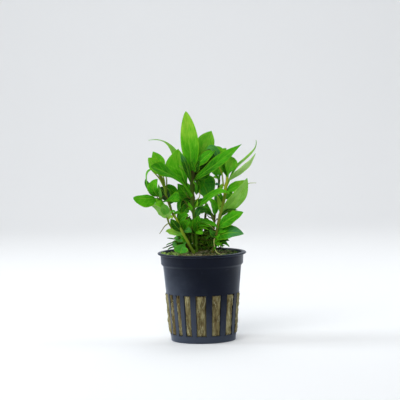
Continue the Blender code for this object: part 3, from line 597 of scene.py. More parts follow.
class Pile:
    """The points and faces of one piece, with the values that its materials read."""

    def __init__(self):
        self.faces = []
        self.slots = []
        self.values = []
        self.count = 0

    def add(self, points, faces, slots=0, uv=(0, 0), tone=0.5, painted_sheen=0):
        size = len(points)
        self.faces += [tuple(corner + self.count for corner in face) for face in faces]
        self.slots += [slots] * len(faces) if np.isscalar(slots) else slots
        each = np.broadcast_to(uv, (size, 2)), np.broadcast_to(tone, size), np.broadcast_to(painted_sheen, size)
        self.values.append((points, *each))
        self.count += size

    def build(self, name, materials, smooth_below=60):
        points, uv, tone, painted_sheen = (np.concatenate(value) for value in zip(*self.values))
        mesh = bpy.data.meshes.new(name)
        mesh.from_pydata((points * MM).tolist(), [], self.faces)
        mesh.polygons.foreach_set("material_index", self.slots)
        corners = np.zeros(len(mesh.loops), np.int32)
        mesh.loops.foreach_get("vertex_index", corners)
        uv = uv[corners].astype(np.float32)
        mesh.uv_layers.new(name="blade").data.foreach_set("uv", uv.ravel())
        for key, value in (("tone", tone), ("painted_sheen", painted_sheen)):
            mesh.attributes.new(key, "FLOAT", "POINT").data.foreach_set("value", value.astype(np.float32))
        for material in materials:
            mesh.materials.append(material)
        mesh.shade_smooth()
        mesh.set_sharp_from_angle(angle=math.radians(smooth_below))
        mesh.update()
        piece = bpy.data.objects.new(name, mesh)
        bpy.context.scene.collection.objects.link(piece)
        return piece


def dress(piece, slot, *nodes):
    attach(piece, "root")
    if nodes:
        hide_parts(*nodes)


class Look:
    """A material's nodes, from a Principled shader."""

    def __init__(self, name, roughness, specular):
        self.material = bpy.data.materials.new(name)
        self.material.use_nodes = True
        self.tree = self.material.node_tree
        self.shader = self.tree.nodes["Principled BSDF"]
        self.shade({"Roughness": roughness, "Specular IOR Level": specular})

    def set(self, node, inputs):
        for socket, value in inputs.items():
            if isinstance(value, bpy.types.NodeSocket):
                self.tree.links.new(value, node.inputs[socket])
            elif value is not None:
                node.inputs[socket].default_value = value

    def shade(self, inputs):
        self.set(self.shader, inputs)

    def add(self, kind, inputs=None, output=0, **settings):
        node = self.tree.nodes.new("ShaderNode" + kind)
        for key, value in settings.items():
            setattr(node, key, value)
        self.set(node, inputs or {})
        return node.outputs[output]

    def math(self, operation, first, second=None, third=None):
        return self.add("Math", {0: first, 1: second, 2: third}, operation=operation)

    def mix(self, share, first, second):
        second = (*second, 1.0) if isinstance(second, tuple) else second
        return self.add("Mix", {0: share, 6: first, 7: second}, 2, data_type="RGBA")

    def step(self, value, low, high, to_low=0.0, to_high=1.0):
        inputs = {0: value, 1: low, 2: high, 3: to_low, 4: to_high}
        return self.add("MapRange", inputs, interpolation_type="SMOOTHSTEP")

    def vary(self, value, pattern, low, high, change):
        # A value that goes up and down with a pattern.
        return self.math("ADD", value, self.step(pattern, low, high, *change))

    def value(self, name):
        return self.add("Attribute", output="Fac", attribute_name=name)

    def place(self, scale=(1, 1, 1)):
        where = self.add("TexCoord", output="Object")
        return self.add("Mapping", {0: where, 3: scale})

    def blade(self):
        return self.add("UVMap", uv_map="blade")

    def noise(self, scale, detail=3.0, roughness=0.5, stretch=(1, 1, 1), warp=0.0):
        inputs = {"Vector": self.place(stretch), "Scale": scale, "Detail": detail}
        return self.add("TexNoise", inputs | {"Roughness": roughness, "Distortion": warp})

    def ramp(self, value, stops):
        node = self.tree.nodes.new("ShaderNodeValToRGB")
        self.set(node, {0: value})
        elements = node.color_ramp.elements
        while len(elements) < len(stops):
            elements.new(0.5)
        for element, (position, colour) in zip(elements, stops):
            element.position = position
            element.color = (*colour, 1.0)
        return node.outputs[0]

    def bump(self, height, distance, strength):
        inputs = {"Height": height, "Distance": distance * MM, "Strength": strength}
        self.shade({"Normal": self.add("Bump", inputs)})

    def colour(self, value):
        self.shade({"Base Color": value})

    def rough(self, value):
        self.shade({"Roughness": value})


def leaf_look(name, greens, vein_colour, vein_share, roughness):
    look = Look(name, roughness, 0.05)
    uv = look.add("SeparateXYZ", {0: look.blade()})
    along = uv.node.outputs[1]
    off = look.math("ABSOLUTE", look.math("MULTIPLY_ADD", uv, 2.0, -1.0))
    mottling = look.noise(330.0, 4.0, 0.6)
    # Large patches of painted light and shade across the blade.
    painted_light_patches = look.noise(110.0, 2.0)
    grain = look.add("Mapping", {0: look.blade(), 3: (9.0, 1.8, 1.0)})
    grain = look.add("VectorMath", {0: grain, 1: look.place((25.0, 25.0, 25.0))}, operation="ADD")
    streaks = look.add("TexNoise", {"Vector": grain, "Scale": 3.0, "Detail": 3.0})
    # The tone holds painted shade as well as the leaf's own green.
    tone = look.vary(look.value("tone"), mottling, 0.3, 0.7, (-0.05, 0.05))
    tone = look.vary(tone, painted_light_patches, 0.35, 0.65, (-0.06, 0.05))
    tone = look.vary(tone, streaks, 0.35, 0.65, (-0.09, 0.09))
    # The bluish mix is a painted sheen, standing for reflected sky on the leaf.
    body = look.mix(look.value("painted_sheen"), look.ramp(tone, greens), PAINTED_SHEEN_GREEN)
    rise = look.math("MULTIPLY_ADD", off, -VEIN_SLOPE, along)
    phase = look.math("FRACT", look.math("MULTIPLY", rise, float(VEINS)))
    gap = look.math("ABSOLUTE", look.math("SUBTRACT", phase, 0.5))
    vein = look.math("MULTIPLY", look.step(gap, 0.40, 0.5), 0.6)
    line = look.math("MAXIMUM", look.step(off, 0.10, 0.02), vein)
    body = look.mix(look.math("MULTIPLY", line, vein_share), body, vein_colour)
    # A painted highlight where light catches the leaf's margin.
    look.colour(look.mix(look.step(off, 0.80, 1.0, 0.0, 0.4), body, MARGIN_HIGHLIGHT_GREEN))
    sunk = look.math("MULTIPLY", line, -1.0)
    look.bump(look.math("MULTIPLY_ADD", look.noise(2200.0, 2.0), 0.25, sunk), 0.08, 0.6)
    look.rough(look.step(mottling, 0.3, 0.75, roughness, roughness + 0.16))
    look.shade({"Subsurface Weight": 0.25, "Subsurface Radius": (0.5, 1, 0.1), "Subsurface Scale": 0.5 * MM})
    return look.material


def stem_look():
    look = Look("stem_skin", 0.55, 0.05)
    brown = look.add("SeparateXYZ", {0: look.blade()})
    # The lightness holds painted shade on stems deep in the plant.
    light = look.value("tone")
    streaks = look.noise(900.0, stretch=(1, 1, 0.12))
    share = look.vary(brown, streaks, 0.3, 0.7, (-0.25, 0.25))
    look.colour(look.mix(share, look.ramp(light, STEM_GREENS), look.ramp(light, STEM_BROWNS)))
    look.bump(streaks, 0.1, 0.5)
    look.rough(look.step(streaks, 0.3, 0.7, 0.45, 0.6))
    return look.material


def plastic_look():
    # Blue-black, with pale scuffs and scratches, and a painted reflection that makes it lighter towards the
    # foot and the left.
    look = Look("pot_plastic_look", 0.4, 0.09)
    clouds = look.noise(70.0, 5.0, 0.6)
    scuffs = look.noise(420.0, 6.0, 0.75, stretch=(1, 1, 0.5))
    scratches = look.noise(160.0, 3.0, 0.6, stretch=(0.25, 0.25, 6.0), warp=0.4)
    body = look.ramp(clouds, PLASTIC_COLOURS)
    body = look.mix(look.step(scuffs, 0.58, 0.8, 0.0, 0.3), body, SCUFF_COLOUR)
    body = look.mix(look.step(scratches, 0.66, 0.74, 0.0, 0.35), body, SCRATCH_COLOUR)
    # A painted reflection: lighter towards the foot and the left of the pot.
    height = look.add("SeparateXYZ", {0: look.place()}, 2)
    across = look.math("MULTIPLY", height.node.outputs[0], 0.7)
    reach = look.math("ADD", look.math("ADD", across, height), look.math("MULTIPLY", clouds, 0.03))
    look.colour(look.mix(look.step(reach, 0.052, 0.018, 0.0, 0.7), body, PAINTED_REFLECTION_COLOUR))
    look.rough(look.step(clouds, 0.35, 0.7, 0.30, 0.46))
    look.bump(look.noise(1500.0), 0.05, 0.35)
    look.shade({"Sheen Weight": 0.2, "Sheen Roughness": 0.4, "Sheen Tint": (0.55, 0.72, 1, 1)})
    return look.material


def wool_look():
    # Streaky at the side, with a painted highlight at its outer left and right, and dark and mossy on top
    # (tone 1).
    look = Look("mineral_wool_look", 0.95, 0.1)
    streaks = look.noise(330.0, 6.0, 0.65, stretch=(1, 1, 0.3), warp=0.6)
    off = look.math("ABSOLUTE", look.add("SeparateXYZ", {0: look.place()}))
    # A painted highlight at the wool's outer left and right.
    edge = look.step(off, 17.5 * MM, 20.5 * MM, 0.0, 0.4)
    body = look.mix(edge, look.ramp(streaks, WOOL_COLOURS), WOOL_SIDE_HIGHLIGHT_COLOUR)
    body = look.mix(look.value("tone"), body, look.ramp(look.noise(600.0, 5.0, 0.7), WOOL_TOP_COLOURS))
    moss = look.math("MULTIPLY", look.step(look.noise(160.0, 4.0), 0.48, 0.62), look.value("tone"))
    look.colour(look.mix(moss, body, WOOL_MOSS_COLOUR))
    look.bump(streaks, 0.5, 0.8)
    return look.material


def speckled_look(name, roughness, specular, scale, change, colours):
    look = Look(name, roughness, specular)
    light = look.vary(look.value("tone"), look.noise(scale, 2.0), 0.3, 0.7, change)
    look.colour(look.ramp(light, colours))
    return look.material


def grid_faces(rows, columns, first=0, flip=False):
    faces = []
    for row in range(rows - 1):
        for column in range(columns - 1):
            corner = first + row * columns + column
            face = (corner, corner + 1, corner + columns + 1, corner + columns)
            faces.append(face[::-1] if flip else face)
    return faces


def ring_faces(rows, columns, flip=False):
    # The faces between closed rings of points, and the two caps.
    faces = []
    for row in range(rows - 1):
        for column in range(columns):
            here = row * columns + column
            beside = row * columns + (column + 1) % columns
            face = (here, beside, beside + columns, here + columns)
            faces.append((here, *face[:0:-1]) if flip else face)
    caps = [tuple(range(columns))[::-1], tuple(range((rows - 1) * columns, rows * columns))]
    return faces + [cap[::-1] if flip else cap for cap in caps]


def smooth_path(points, steps):
    # A Catmull-Rom curve through the points.
    points = np.asarray(points, float)
    padded = np.concatenate([[2 * points[0] - points[1]], points, [2 * points[-1] - points[-2]]])
    made = []
    for index in range(len(points) - 1):
        a, b, c, d = padded[index:index + 4]
        for t in np.linspace(0, 1, steps, endpoint=False):
            made.append(0.5 * (2 * b + (c - a) * t + (2 * a - 5 * b + 4 * c - d) * t ** 2
                               + (3 * b - 3 * c + d - a) * t ** 3))
    made.append(points[-1])
    return np.array(made)


def add_tube(pile, path, radii, sides, slot=0, brown=0, tone=0.5):
    count = len(path)
    radii = np.broadcast_to(radii, count)
    ahead = unit(np.gradient(path, axis=0))
    least = int(np.argmin(np.abs(unit(path[-1] - path[0]))))
    side = unit(np.cross(ahead, np.eye(3)[least]))
    up = np.cross(side, ahead)
    turn = np.linspace(0, 2 * math.pi, sides, endpoint=False)
    ring = side[:, None] * np.cos(turn)[None, :, None] - up[:, None] * np.sin(turn)[None, :, None]
    points = (path[:, None] + ring * radii[:, None, None]).reshape(-1, 3)
    values = np.column_stack([np.broadcast_to(brown, count), np.linspace(0, 1, count)])
    tones = np.repeat(np.broadcast_to(tone, count), sides)
    pile.add(points, ring_faces(count, sides), slot, np.repeat(values, sides, 0), tones)


def midrib_at(points, along):
    # The smooth curve through points at equal shares of the midrib's length.
    last = len(points) - 1
    made = np.zeros((len(along), 3))
    for index, point in enumerate(points):
        others = [other for other in range(last + 1) if other != index]
        shares = [(along * last - other) / (index - other) for other in others]
        made += np.prod(shares, axis=0)[:, None] * point
    return made


def blade_outline(along, start, belly, full):
    # Half widths along the blade, from 0 at its foot and tip to 1 at the belly.
    along = np.clip((along - start) / (1 - start), 0, 1)
    belly = (belly - start) / (1 - start)
    power = math.log(0.5) / math.log(belly)
    width = np.sin(math.pi * along ** power)
    return np.where(along < belly, width ** full[0], width ** full[1])


def blade_faces(rows, columns):
    # The upper side, the underside in the second material, and the edge that joins them.
    size = rows * columns
    upper = grid_faces(rows, columns)
    under = grid_faces(rows, columns, size, flip=True)
    loop = list(range(columns))
    loop += [row * columns + columns - 1 for row in range(1, rows)]
    loop += [size - 2 - step for step in range(columns - 1)]
    loop += [row * columns for row in range(rows - 2, 0, -1)]
    edge = [(here + size, after + size, after, here) for here, after in zip(loop, loop[1:] + loop[:1])]
    return upper + under + edge, [0] * len(upper) + [1] * len(under) + [0] * len(edge)


def add_blade(pile, points, width, face, tone, painted_sheen=(0, 0), seed=0, grid=LEAF_GRID, **shape):
    # A closed thin solid on a midrib, folded along it, wavy, and quilted between its veins.
    shape = USUAL | shape
    chance = np.random.default_rng(seed)
    points = np.asarray(points, float)
    rows, half_columns = grid
    along = np.linspace(0, 1, rows)
    across = np.linspace(-1, 1, 2 * half_columns + 1)
    columns = len(across)
    down = along[:, None]
    reach = np.abs(across)[None, :]
    scale = min(1, width / 8)

    centre = midrib_at(points, along)
    ahead = unit(midrib_at(points, along + 0.01) - midrib_at(points, along - 0.01))
    side = unit(np.cross(ahead, np.asarray(face, float)))
    normal = np.cross(side, ahead)[:, None]

    outline = blade_outline(along, shape["start"], shape["belly"], shape["full"])
    stalk = min(shape["stalk"], 0.16 * width)
    half = np.maximum(outline * width / 2, stalk * (1 - smooth(0.9, 1.0, along) * 0.9))[:, None]
    outline = outline[:, None]
    fold = math.radians(shape["fold"])
    sides = np.where(across < 0, *shape["sides"])
    spread = half * (across * sides)[None, :] * math.cos(fold)

    wave = np.zeros((rows, columns))
    for turns in WAVE_TURNS:
        start = chance.uniform(0, 2 * math.pi, 2)
        start = np.where(across < 0, start[0], start[1])[None, :]
        wave += np.sin(2 * math.pi * turns * down + start)
    wave *= shape["wave"] * scale * reach ** 2 * outline
    phase = (down - VEIN_SLOPE * reach) * VEINS
    quilt = QUILT * scale * np.abs(np.sin(math.pi * phase)) * (1 - reach ** 4) * outline
    lift = half * (reach * math.sin(fold)) + wave + quilt
    lift -= min(GROOVE, 0.02 * width) * (np.exp(-((reach * half / 0.3) ** 2)) * (1 - 0.7 * down))

    surface = centre[:, None] + side[:, None] * spread[..., None] + normal * lift[..., None]
    thin = min(LEAF_THICKNESS, 0.05 + 0.04 * width) / 2 * (1 - 0.55 * reach ** 3) * np.ones((rows, 1))
    rib = min(RIB_DEPTH, 0.04 * width) * np.exp(-((reach * half / 0.35) ** 2)) * (1 - 0.8 * down)
    upper = surface + normal * thin[..., None]
    under = surface - normal * (thin + rib)[..., None]

    uv = np.stack(np.meshgrid(across / 2 + 0.5, along), -1).reshape(-1, 2)
    # Tone and painted sheen change from the foot towards the tip; the lower tone at the foot of most leaves
    # is painted shade.
    values = []
    for low, high in (tone, painted_sheen):
        value = low + (high - low) * smooth(0.0, 0.8, uv[:, 1])
        values.append(np.concatenate([value, value]))
    both = np.concatenate([upper.reshape(-1, 3), under.reshape(-1, 3)])
    faces, slots = blade_faces(rows, columns)
    pile.add(both, faces, slots, np.concatenate([uv, uv]), *values)


def stem_at(stem, height):
    # Centre, direction and radius of a stem at a height.
    foot_radius, end_radius, points = STEMS[stem]
    points = np.asarray(points, float)
    shares = np.linspace(0, 1, len(points))
    share = float(np.interp(height, points[:, 2], shares))
    low, here, high = (
        np.array([np.interp(near, shares, points[:, axis]) for axis in range(3)])
        for near in (share - 0.02, share, share + 0.02)
    )
    return here, unit(high - low), foot_radius + (end_radius - foot_radius) * share


def leaf_foot(stem, height, middle):
    # The stalk starts just inside the stem's side, on the side that the leaf leaves it.
    centre, ahead, radius = stem_at(stem, height)
    away = np.asarray(middle, float) - centre
    away = unit(away - ahead * (away @ ahead))
    return centre + away * radius * 0.6


def add_leaf(pile, row, seed, **shape):
    stem, height, width, face, tone, painted_sheen, midrib = row
    points = [leaf_foot(stem, height, midrib[0]), *midrib]
    add_blade(pile, points, width, face, tone, np.broadcast_to(painted_sheen, 2), seed, **shape)


def make_leaves(materials):
    for number, (name, row) in enumerate(LEAVES.items()):
        pile = Pile()
        add_leaf(pile, row, number, **SHAPES.get(name, {}))
        pale = name in PALE_LEAVES
        piece = pile.build("blade_" + name, materials[::-1] if pale else materials)
        dress(piece, "leaf_pale" if pale else "leaf", "leaf_" + name)


def make_small_leaves(materials):
    number = len(LEAVES)
    for group, rows in SMALL_LEAVES.items():
        pile = Pile()
        for row in rows:
            number += 1
            add_leaf(pile, row, number, grid=SMALL_LEAF_GRID, full=(0.7, 0.75), fold=18)
        dress(pile.build("small_leaves_" + group, materials), "leaf")


def make_stems(material):
    # Each stem swells where a leaf leaves it, and ends in a small blunt tip.
    for name, (foot_radius, end_radius, points) in STEMS.items():
        path = smooth_path(points, 8)
        share = np.linspace(0, 1, len(path))
        radii = foot_radius + (end_radius - foot_radius) * share
        for stem, height, *_ in LEAVES.values():
            if stem == name:
                off = np.linalg.norm(path - stem_at(name, height)[0], axis=1)
                radii = radii * (1 + KNOT_SWELL * np.exp(-(off / KNOT_REACH) ** 2))
        radii *= 1 - 0.4 * smooth(0.82, 1.0, share)
        radii[-2:] *= (0.85, 0.5)
        brown_foot, brown_end, light_foot, light_end = STEM_TINTS[name]
        brown = brown_foot + (brown_end - brown_foot) * share
        light = light_foot + (light_end - light_foot) * share
        pile = Pile()
        add_tube(pile, path, radii, STEM_SIDES, 0, brown, light)
        slot = "stem_green" if name in GREEN_STEMS else "stem_brown"
        dress(pile.build("stalk_" + name, [material]), slot, "stem_" + name)


def make_twigs(material, name, rows, slot):
    pile = Pile()
    for stem, height, radius, brown, light, points in rows:
        path = smooth_path([stem_at(stem, height)[0], *points], 6)
        radii = radius * (1 - 0.45 * np.linspace(0, 1, len(path)) ** 2)
        add_tube(pile, path, radii, TWIG_SIDES, 0, brown, light)
    dress(pile.build(name, [material]), slot)


def arched(foot, way, length, rise):
    # A short leaf's midrib: its foot, its half-way point, raised a little, and its tip.
    return [foot, foot + way * length * 0.5 + (0, 0, rise * length), foot + way * length]


def way_out(foot, way, middle, reach):
    # How far it is from a foot inside an ellipsoid to its surface, going one way.
    inside = (foot - middle) / reach
    beam = way / reach
    half_b = inside @ beam
    room = half_b ** 2 - (beam @ beam) * (inside @ inside - 1)
    return (-half_b + math.sqrt(max(room, 0.0))) / (beam @ beam)


def make_clumps(leaf_materials, stem_material):
    for name, (middle, reach, stem, height, count, widths, tones) in CLUMPS.items():
        chance = np.random.default_rng(len(name) + count)
        middle = np.array(middle)
        reach = np.array(reach)
        low = middle - (0, 0, 0.75 * reach[2])
        high = middle + (0, 0, 0.8 * reach[2])
        bend = chance.uniform(-0.25, 0.25, 3) * reach * (1, 1, 0)
        twig = smooth_path([stem_at(stem, height)[0], low, middle + bend, high], 8)
        pile = Pile()
        add_tube(pile, twig, np.linspace(0.4, 0.22, len(twig)), TWIG_SIDES, 2, 0.6, 0.25)
        body = twig[8:]
        for index in range(count):
            foot = body[int(len(body) * (index + 0.5) / count)]
            turn = index * TURN_PER_LEAF
            way = unit(np.array([math.cos(turn), math.sin(turn), chance.uniform(-0.35, 0.9)]))
            length = way_out(foot, way, middle, reach) * chance.uniform(0.75, 0.98)
            points = arched(foot, way, length, 0.08)
            face = unit(way * 0.4 + np.array([0.0, -0.4, 0.8]))
            tone = chance.uniform(*tones)
            width = chance.uniform(*widths)
            add_blade(pile, points, width, face, (tone, tone + 0.1), seed=index, grid=CLUMP_GRID, fold=16)
        piece = pile.build("clump_" + name, [*leaf_materials, stem_material])
        dress(piece, "moss", "tuft_" + name)


def make_thickets(materials):
    for name, rows in THICKETS.items():
        pile = Pile()
        chance = np.random.default_rng(len(rows) + len(name))
        for stem, (low, high), middle, reach, count, widths, tones in rows:
            for index in range(count):
                height = low + (high - low) * (index + chance.uniform(0, 1)) / count
                way = unit(chance.normal(size=3))
                tip = np.array(middle) + way * reach * chance.uniform(0.6, 1.0)
                tip[2] = max(tip[2], THICKET_BOTTOM)
                centre = stem_at(stem, height)[0]
                length = np.linalg.norm(tip - centre)
                if length < 2.0:
                    continue
                half_way = (centre + tip) / 2 + (0, 0, 0.1 * length)
                points = [leaf_foot(stem, height, half_way), half_way, tip]
                tone = chance.uniform(*tones)
                face = unit(np.array([chance.uniform(-0.3, 0.3), -0.7, 0.6]))
                width = chance.uniform(*widths)
                shape = {"grid": THICKET_GRID, "full": (0.8, 0.8), "fold": 16}
                add_blade(pile, points, width, face, (tone, tone + 0.12), seed=index, **shape)
        dress(pile.build("thicket_" + name, materials), "leaf")


def pot_angles():
    # Degrees round the pot, with True where a slot's strip starts there.
    angles = []
    for (middle, width), (start, end) in zip(BARS, pot_slots()):
        angles += [(angle, False) for angle in np.linspace(middle - width / 2, start, 4)[:-1]]
        angles += [(angle, True) for angle in np.linspace(start, end, 7)[:-1]]
    return angles


def make_pot(material):
    angles = pot_angles()
    body = [(body_radius(z), body_radius(z) - WALL, z, max(z, FLOOR)) for z in BODY_HEIGHTS]
    rows = [*RIM_AND_COLLAR, *body, *FOOT]
    columns = len(angles)
    ways = around([angle for angle, _ in angles])
    points = [ways * row[layer] + (0, 0, row[layer + 2]) for layer in (0, 1) for row in rows]
    inner = len(rows) * columns
    faces = []

    def solid(row, column):
        middle = (rows[row][2] + rows[row + 1][2]) / 2
        return not (angles[column % columns][1] and SLOT_BOTTOM < middle < SLOT_TOP)

    def wall(start, end):
        faces.append((start, end, end + inner, start + inner))

    for row in range(len(rows) - 1):
        for column in range(columns):
            if not solid(row, column):
                continue
            high_left = row * columns + column
            high_right = row * columns + (column + 1) % columns
            low_left, low_right = high_left + columns, high_right + columns
            faces.append((high_left, low_left, low_right, high_right))
            faces.append(tuple(corner + inner for corner in (high_right, low_right, low_left, high_left)))
            if not solid(row, column + 1):
                wall(low_right, high_right)
            if not solid(row, column - 1):
                wall(high_left, low_left)
            if row > 0 and not solid(row - 1, column):
                wall(high_right, high_left)
            if row + 2 < len(rows) and not solid(row + 1, column):
                wall(low_left, low_right)
    for column in range(columns):
        wall((column + 1) % columns, column)
    faces.append(tuple(range(inner - columns, inner))[::-1])
    faces.append(tuple(range(2 * inner - columns, 2 * inner)))
    pile = Pile()
    pile.add(np.concatenate(points), faces)
    pot = pile.build("pot_shell", [material], POT_SMOOTH_BELOW)
    bevel = pot.modifiers.new("Soft edges", "BEVEL")
    bevel.width = BEVEL_WIDTH * MM
    bevel.segments = 2
    bevel.limit_method = "ANGLE"
    bevel.angle_limit = math.radians(BEVEL_ANGLE)
    dress(pot, "pot_plastic", "net_pot")


def slot_swell(degrees, height):
    # How far the wool bulges out through the slots, from 0 at a bar to 1 in a slot's middle.
    swell = np.zeros(len(degrees))
    for start, end in pot_slots():
        off = ((degrees - start) % 360) / (end - start) * 2 - 1
        swell = np.maximum(swell, np.where(np.abs(off) < 1, 1 - np.abs(off) ** 3, 0))
    above = smooth(SLOT_BOTTOM - 0.5, SLOT_BOTTOM + 1, height)
    return swell * above * (1 - smooth(SLOT_TOP - 1, SLOT_TOP + 0.5, height))


def lumps(points, scale, seed):
    # Cheap smooth unevenness: a few waves in fixed random directions.
    chance = np.random.default_rng(seed)
    total = np.zeros(len(points))
    for octave in range(5):
        ways = unit(chance.normal(size=(4, 3)))
        for way in ways:
            start = chance.uniform(0, 2 * math.pi)
            total += np.sin(points @ way * scale * 1.7 ** octave + start) / (4 * 1.5 ** octave)
    return total


def wool_side(degrees, height):
    # Radius of the wool's side, bulging out through the slots, with ridges that run up and down.
    ways = around(degrees)
    radius = body_radius(height) - WALL - 0.3
    place = ways * radius + (0, 0, height)
    ridges = lumps(place * (1, 1, 0.25), 2.2, 5)
    bulge = 1.4 + 0.5 * ways[:, 0] ** 4 + 0.3 * lumps(place, 0.7, 3) + 0.22 * ridges
    return radius + slot_swell(degrees, np.full(len(ways), height)) * bulge


def wool_top(x, y):
    # Height of the wool's upper side.
    x = np.atleast_1d(x)
    y = np.atleast_1d(y)
    rim = 0.5 * ((x ** 2 + y ** 2) / WOOL_TOP_RADIUS ** 2) ** 2
    place = np.column_stack([x, y, np.zeros(len(x))])
    return WOOL_TOP - 0.35 - rim + 0.35 * lumps(place, 1.1, 3)


def make_wool(material):
    bottom = FLOOR + 0.3
    degrees = np.linspace(0, 360, WOOL_COLUMNS, endpoint=False)
    ways = around(degrees)
    rings = [ways * radius for radius in np.linspace(0.3, 20.8, WOOL_TOP_ROWS)]
    for ring in rings:
        ring[:, 2] = wool_top(ring[:, 0], ring[:, 1])
    rings += [ways * radius + (0, 0, height) for radius, height in WOOL_SHOULDER]
    hidden = np.linspace(BODY_TOP - 1, SLOT_TOP + 1, 5)
    seen = np.linspace(SLOT_TOP + 0.6, bottom + 0.4, 64)
    for height in np.concatenate([hidden, seen]):
        rings.append(ways * wool_side(degrees, height)[:, None] + (0, 0, height))
    rings += [ways * radius + (0, 0, bottom) for radius in (16.0, 8.0, 0.3)]
    tone = np.repeat(np.arange(len(rings)) < WOOL_TOP_ROWS, WOOL_COLUMNS)
    pile = Pile()
    pile.add(np.concatenate(rings), ring_faces(len(rings), WOOL_COLUMNS, flip=True), tone=tone)
    dress(pile.build("wool_body", [material]), "mineral_wool", "wool_plug")


def keep_within(x, y, reach):
    share = np.minimum(1, reach / np.hypot(x, y))
    return x * share, y * share


def make_fibres(material):
    chance = np.random.default_rng(11)
    pile = Pile()
    steps = np.linspace(0, 1, 7)
    arch = np.sin(math.pi * steps)
    for _ in range(FIBRES_ON_TOP):
        radius = WOOL_TOP_RADIUS * math.sqrt(chance.uniform(0.05, 0.93))
        turn = chance.uniform(0, 2 * math.pi)
        way = chance.uniform(0, 2 * math.pi)
        heading = way + chance.uniform(-1.2, 1.2) * steps
        length = chance.uniform(2.5, 7.0)
        x = radius * math.sin(turn) + np.cumsum(np.cos(heading)) * length / len(steps)
        y = -radius * math.cos(turn) + np.cumsum(np.sin(heading)) * length / len(steps)
        x, y = keep_within(x, y, POT_INSIDE)
        path = np.column_stack([x, y, wool_top(x, y) + chance.uniform(0.05, 0.75) * arch ** 0.7])
        add_tube(pile, path, chance.uniform(0.06, 0.12), FIBRE_SIDES, tone=chance.uniform(0.1, 0.95))
    for _ in range(FIBRES_AT_LIP):
        x = FRONT_TUFT[0] + chance.normal() * 4.5 + np.cumsum(chance.uniform(-0.9, 0.9, 7))
        y = chance.uniform(-23.3, -15.0) + np.cumsum(chance.uniform(-0.5, 0.5, 7))
        x, y = keep_within(x, y, MOSS_REACH)
        floor = np.where(np.hypot(x, y) < WOOL_EDGE, wool_top(x, y), LIP_TOP)
        path = np.column_stack([x, y, floor + chance.uniform(0.2, FRONT_TUFT[1]) * arch ** 0.7])
        path = smooth_path(path[::2], 3)
        add_tube(pile, path, chance.uniform(0.06, 0.11), FIBRE_SIDES, tone=chance.uniform(0.15, 0.85))
    for _ in range(FIBRES_IN_SLOTS):
        degrees = chance.uniform(0, 360)
        height = chance.uniform(SLOT_BOTTOM + 0.5, SLOT_TOP - 0.5)
        if slot_swell(np.array([degrees]), np.array([height]))[0] < 0.35:
            continue
        length = chance.uniform(2.0, 6.0)
        heights = np.clip(height + length * (steps - 0.5), SLOT_BOTTOM + 0.3, SLOT_TOP - 0.3)
        lean = degrees + chance.uniform(-3.5, 3.5) * steps + chance.uniform(-1.5, 1.5) * arch
        radii = np.array([wool_side(np.array([a]), z)[0] for a, z in zip(lean, heights)])
        radii += 0.02 + 0.12 * arch * chance.uniform(0, 1)
        path = around(lean) * radii[:, None] + heights[:, None] * (0, 0, 1)
        if heights[-1] - heights[0] > 1:
            add_tube(pile, path, chance.uniform(0.07, 0.14), FIBRE_SIDES, tone=chance.uniform(0.1, 1.0))
    dress(pile.build("wool_fibres", [material]), "mineral_wool")


def make_moss(material):
    # Tiny pointed leaves in patches on the wool, some of them over the pot's front lip.
    chance = np.random.default_rng(23)
    pile = Pile()
    for x, y, spread, count, tone in MOSS_PATCHES:
        for _ in range(count):
            place = np.array([x, y]) + chance.normal(size=2) * spread
            off = float(np.hypot(*place))
            over_lip = place[0] < 8 and place[1] < 0
            if off > (MOSS_REACH if over_lip else POT_INSIDE):
                continue
            if off < WOOL_EDGE:
                floor = wool_top(place[0], place[1])[0]
            else:
                floor = float(np.interp(off, *LIP_PROFILE))
            foot = np.array([*place, floor - 0.05])
            way = unit(np.array([*chance.normal(size=2), abs(chance.normal()) * 0.7 + 0.15]))
            length = chance.uniform(0.7, 1.7)
            light = float(np.clip(tone + chance.normal() * 0.2, 0, 1))
            width = chance.uniform(0.4, 0.8)
            tones = (light - 0.1, light + 0.1)
            points = arched(foot, way, length, 0.18)
            add_blade(pile, points, width, (0, -0.4, 0.9), tones, grid=MOSS_GRID, wave=0)
    dress(pile.build("moss_cover", [material, material]), "moss")


def make_camera():
    elevation = math.radians(CAMERA_ELEVATION)
    ahead = np.array([0.0, math.cos(elevation), -math.sin(elevation)])
    camera = bpy.data.objects.new("camera", bpy.data.cameras.new("camera"))
    camera.location = (np.array(CAMERA_TARGET) - ahead * CAMERA_DISTANCE) * MM
    camera.rotation_mode = "XYZ"
    camera.rotation_euler = (math.radians(90 - CAMERA_ELEVATION), 0, 0)
    camera.rotation_euler.rotate_axis("Z", -math.radians(CAMERA_ROLL))
    camera.data.sensor_width = SENSOR
    camera.data.lens = SENSOR * CAMERA_DISTANCE / (PICTURE_SIDE * PIXEL)
    bpy.context.scene.collection.objects.link(camera)
    bpy.context.scene.camera = camera


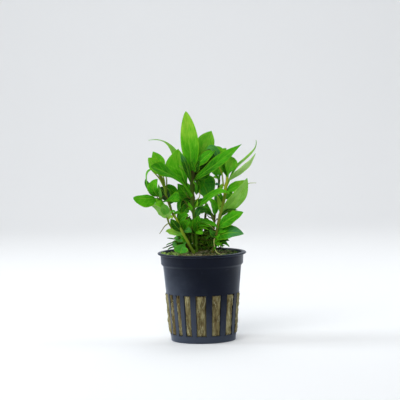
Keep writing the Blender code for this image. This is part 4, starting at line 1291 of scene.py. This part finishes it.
def make_lamps():
    for name, (place, size, power, colour, target) in LAMPS.items():
        light = bpy.data.lights.new(name, "AREA")
        light.shape = "RECTANGLE"
        light.size, light.size_y = size[0] * MM, size[1] * MM
        light.energy = power
        light.color = colour
        lamp = bpy.data.objects.new(name, light)
        lamp.location = np.array(place) * MM
        lamp.rotation_mode = "QUATERNION"
        lamp.rotation_quaternion = (Vector(target) - Vector(place)).to_track_quat("-Z", "Y")
        bpy.context.scene.collection.objects.link(lamp)


def make_studio():
    # A dim pale sky, and a paper floor that bends up into a backdrop.
    world = bpy.data.worlds.new("studio")
    world.use_nodes = True
    sky = world.node_tree.nodes["Background"].inputs
    sky["Color"].default_value = SKY_COLOUR
    sky["Strength"].default_value = SKY_STRENGTH
    bpy.context.scene.world = world
    look = Look("studio_paper", 0.9, 0.2)
    look.colour(PAPER_COLOUR)
    line = [(PAPER_FRONT, 0)]
    for turn in np.linspace(0, math.pi / 2, 13):
        y = PAPER_BEND_START + PAPER_BEND * math.sin(turn)
        line.append((y, PAPER_BEND - PAPER_BEND * math.cos(turn)))
    line.append((PAPER_BEND_START + PAPER_BEND, PAPER_TOP))
    pile = Pile()
    sides = (-PAPER_HALF_WIDTH, PAPER_HALF_WIDTH)
    pile.add([(x, y, z) for y, z in line for x in sides], grid_faces(len(line), 2))
    floor = pile.build("studio_floor", [look.material], 180)


def main():
    bpy.context.scene.view_settings.view_transform = "Standard"
    leaf_top = leaf_look("leaf_upper", GREENS, (0.24, 0.50, 0.03), 0.42, 0.46)
    leaf_under = leaf_look("leaf_underside", PALE_GREENS, (0.34, 0.56, 0.09), 0.45, 0.5)
    fibre = speckled_look("wool_fibre_look", 0.8, 0.15, 500.0, (-0.2, 0.3), FIBRE_COLOURS)
    moss = speckled_look("moss_look", 0.7, 0.12, 700.0, (-0.2, 0.2), MOSS_COLOURS)
    stem = stem_look()
    make_camera()
    make_lamps()
    make_studio()
    make_pot(plastic_look())
    make_wool(wool_look())
    make_fibres(fibre)
    make_moss(moss)
    make_stems(stem)
    make_twigs(stem, "twigs", TWIGS, "stem_brown")
    make_twigs(stem, "roots", ROOTS, "stem_green")
    make_leaves([leaf_top, leaf_under])
    make_small_leaves([leaf_top, leaf_under])
    make_clumps([leaf_top, leaf_under], stem)
    make_thickets([leaf_top, leaf_under])


main()
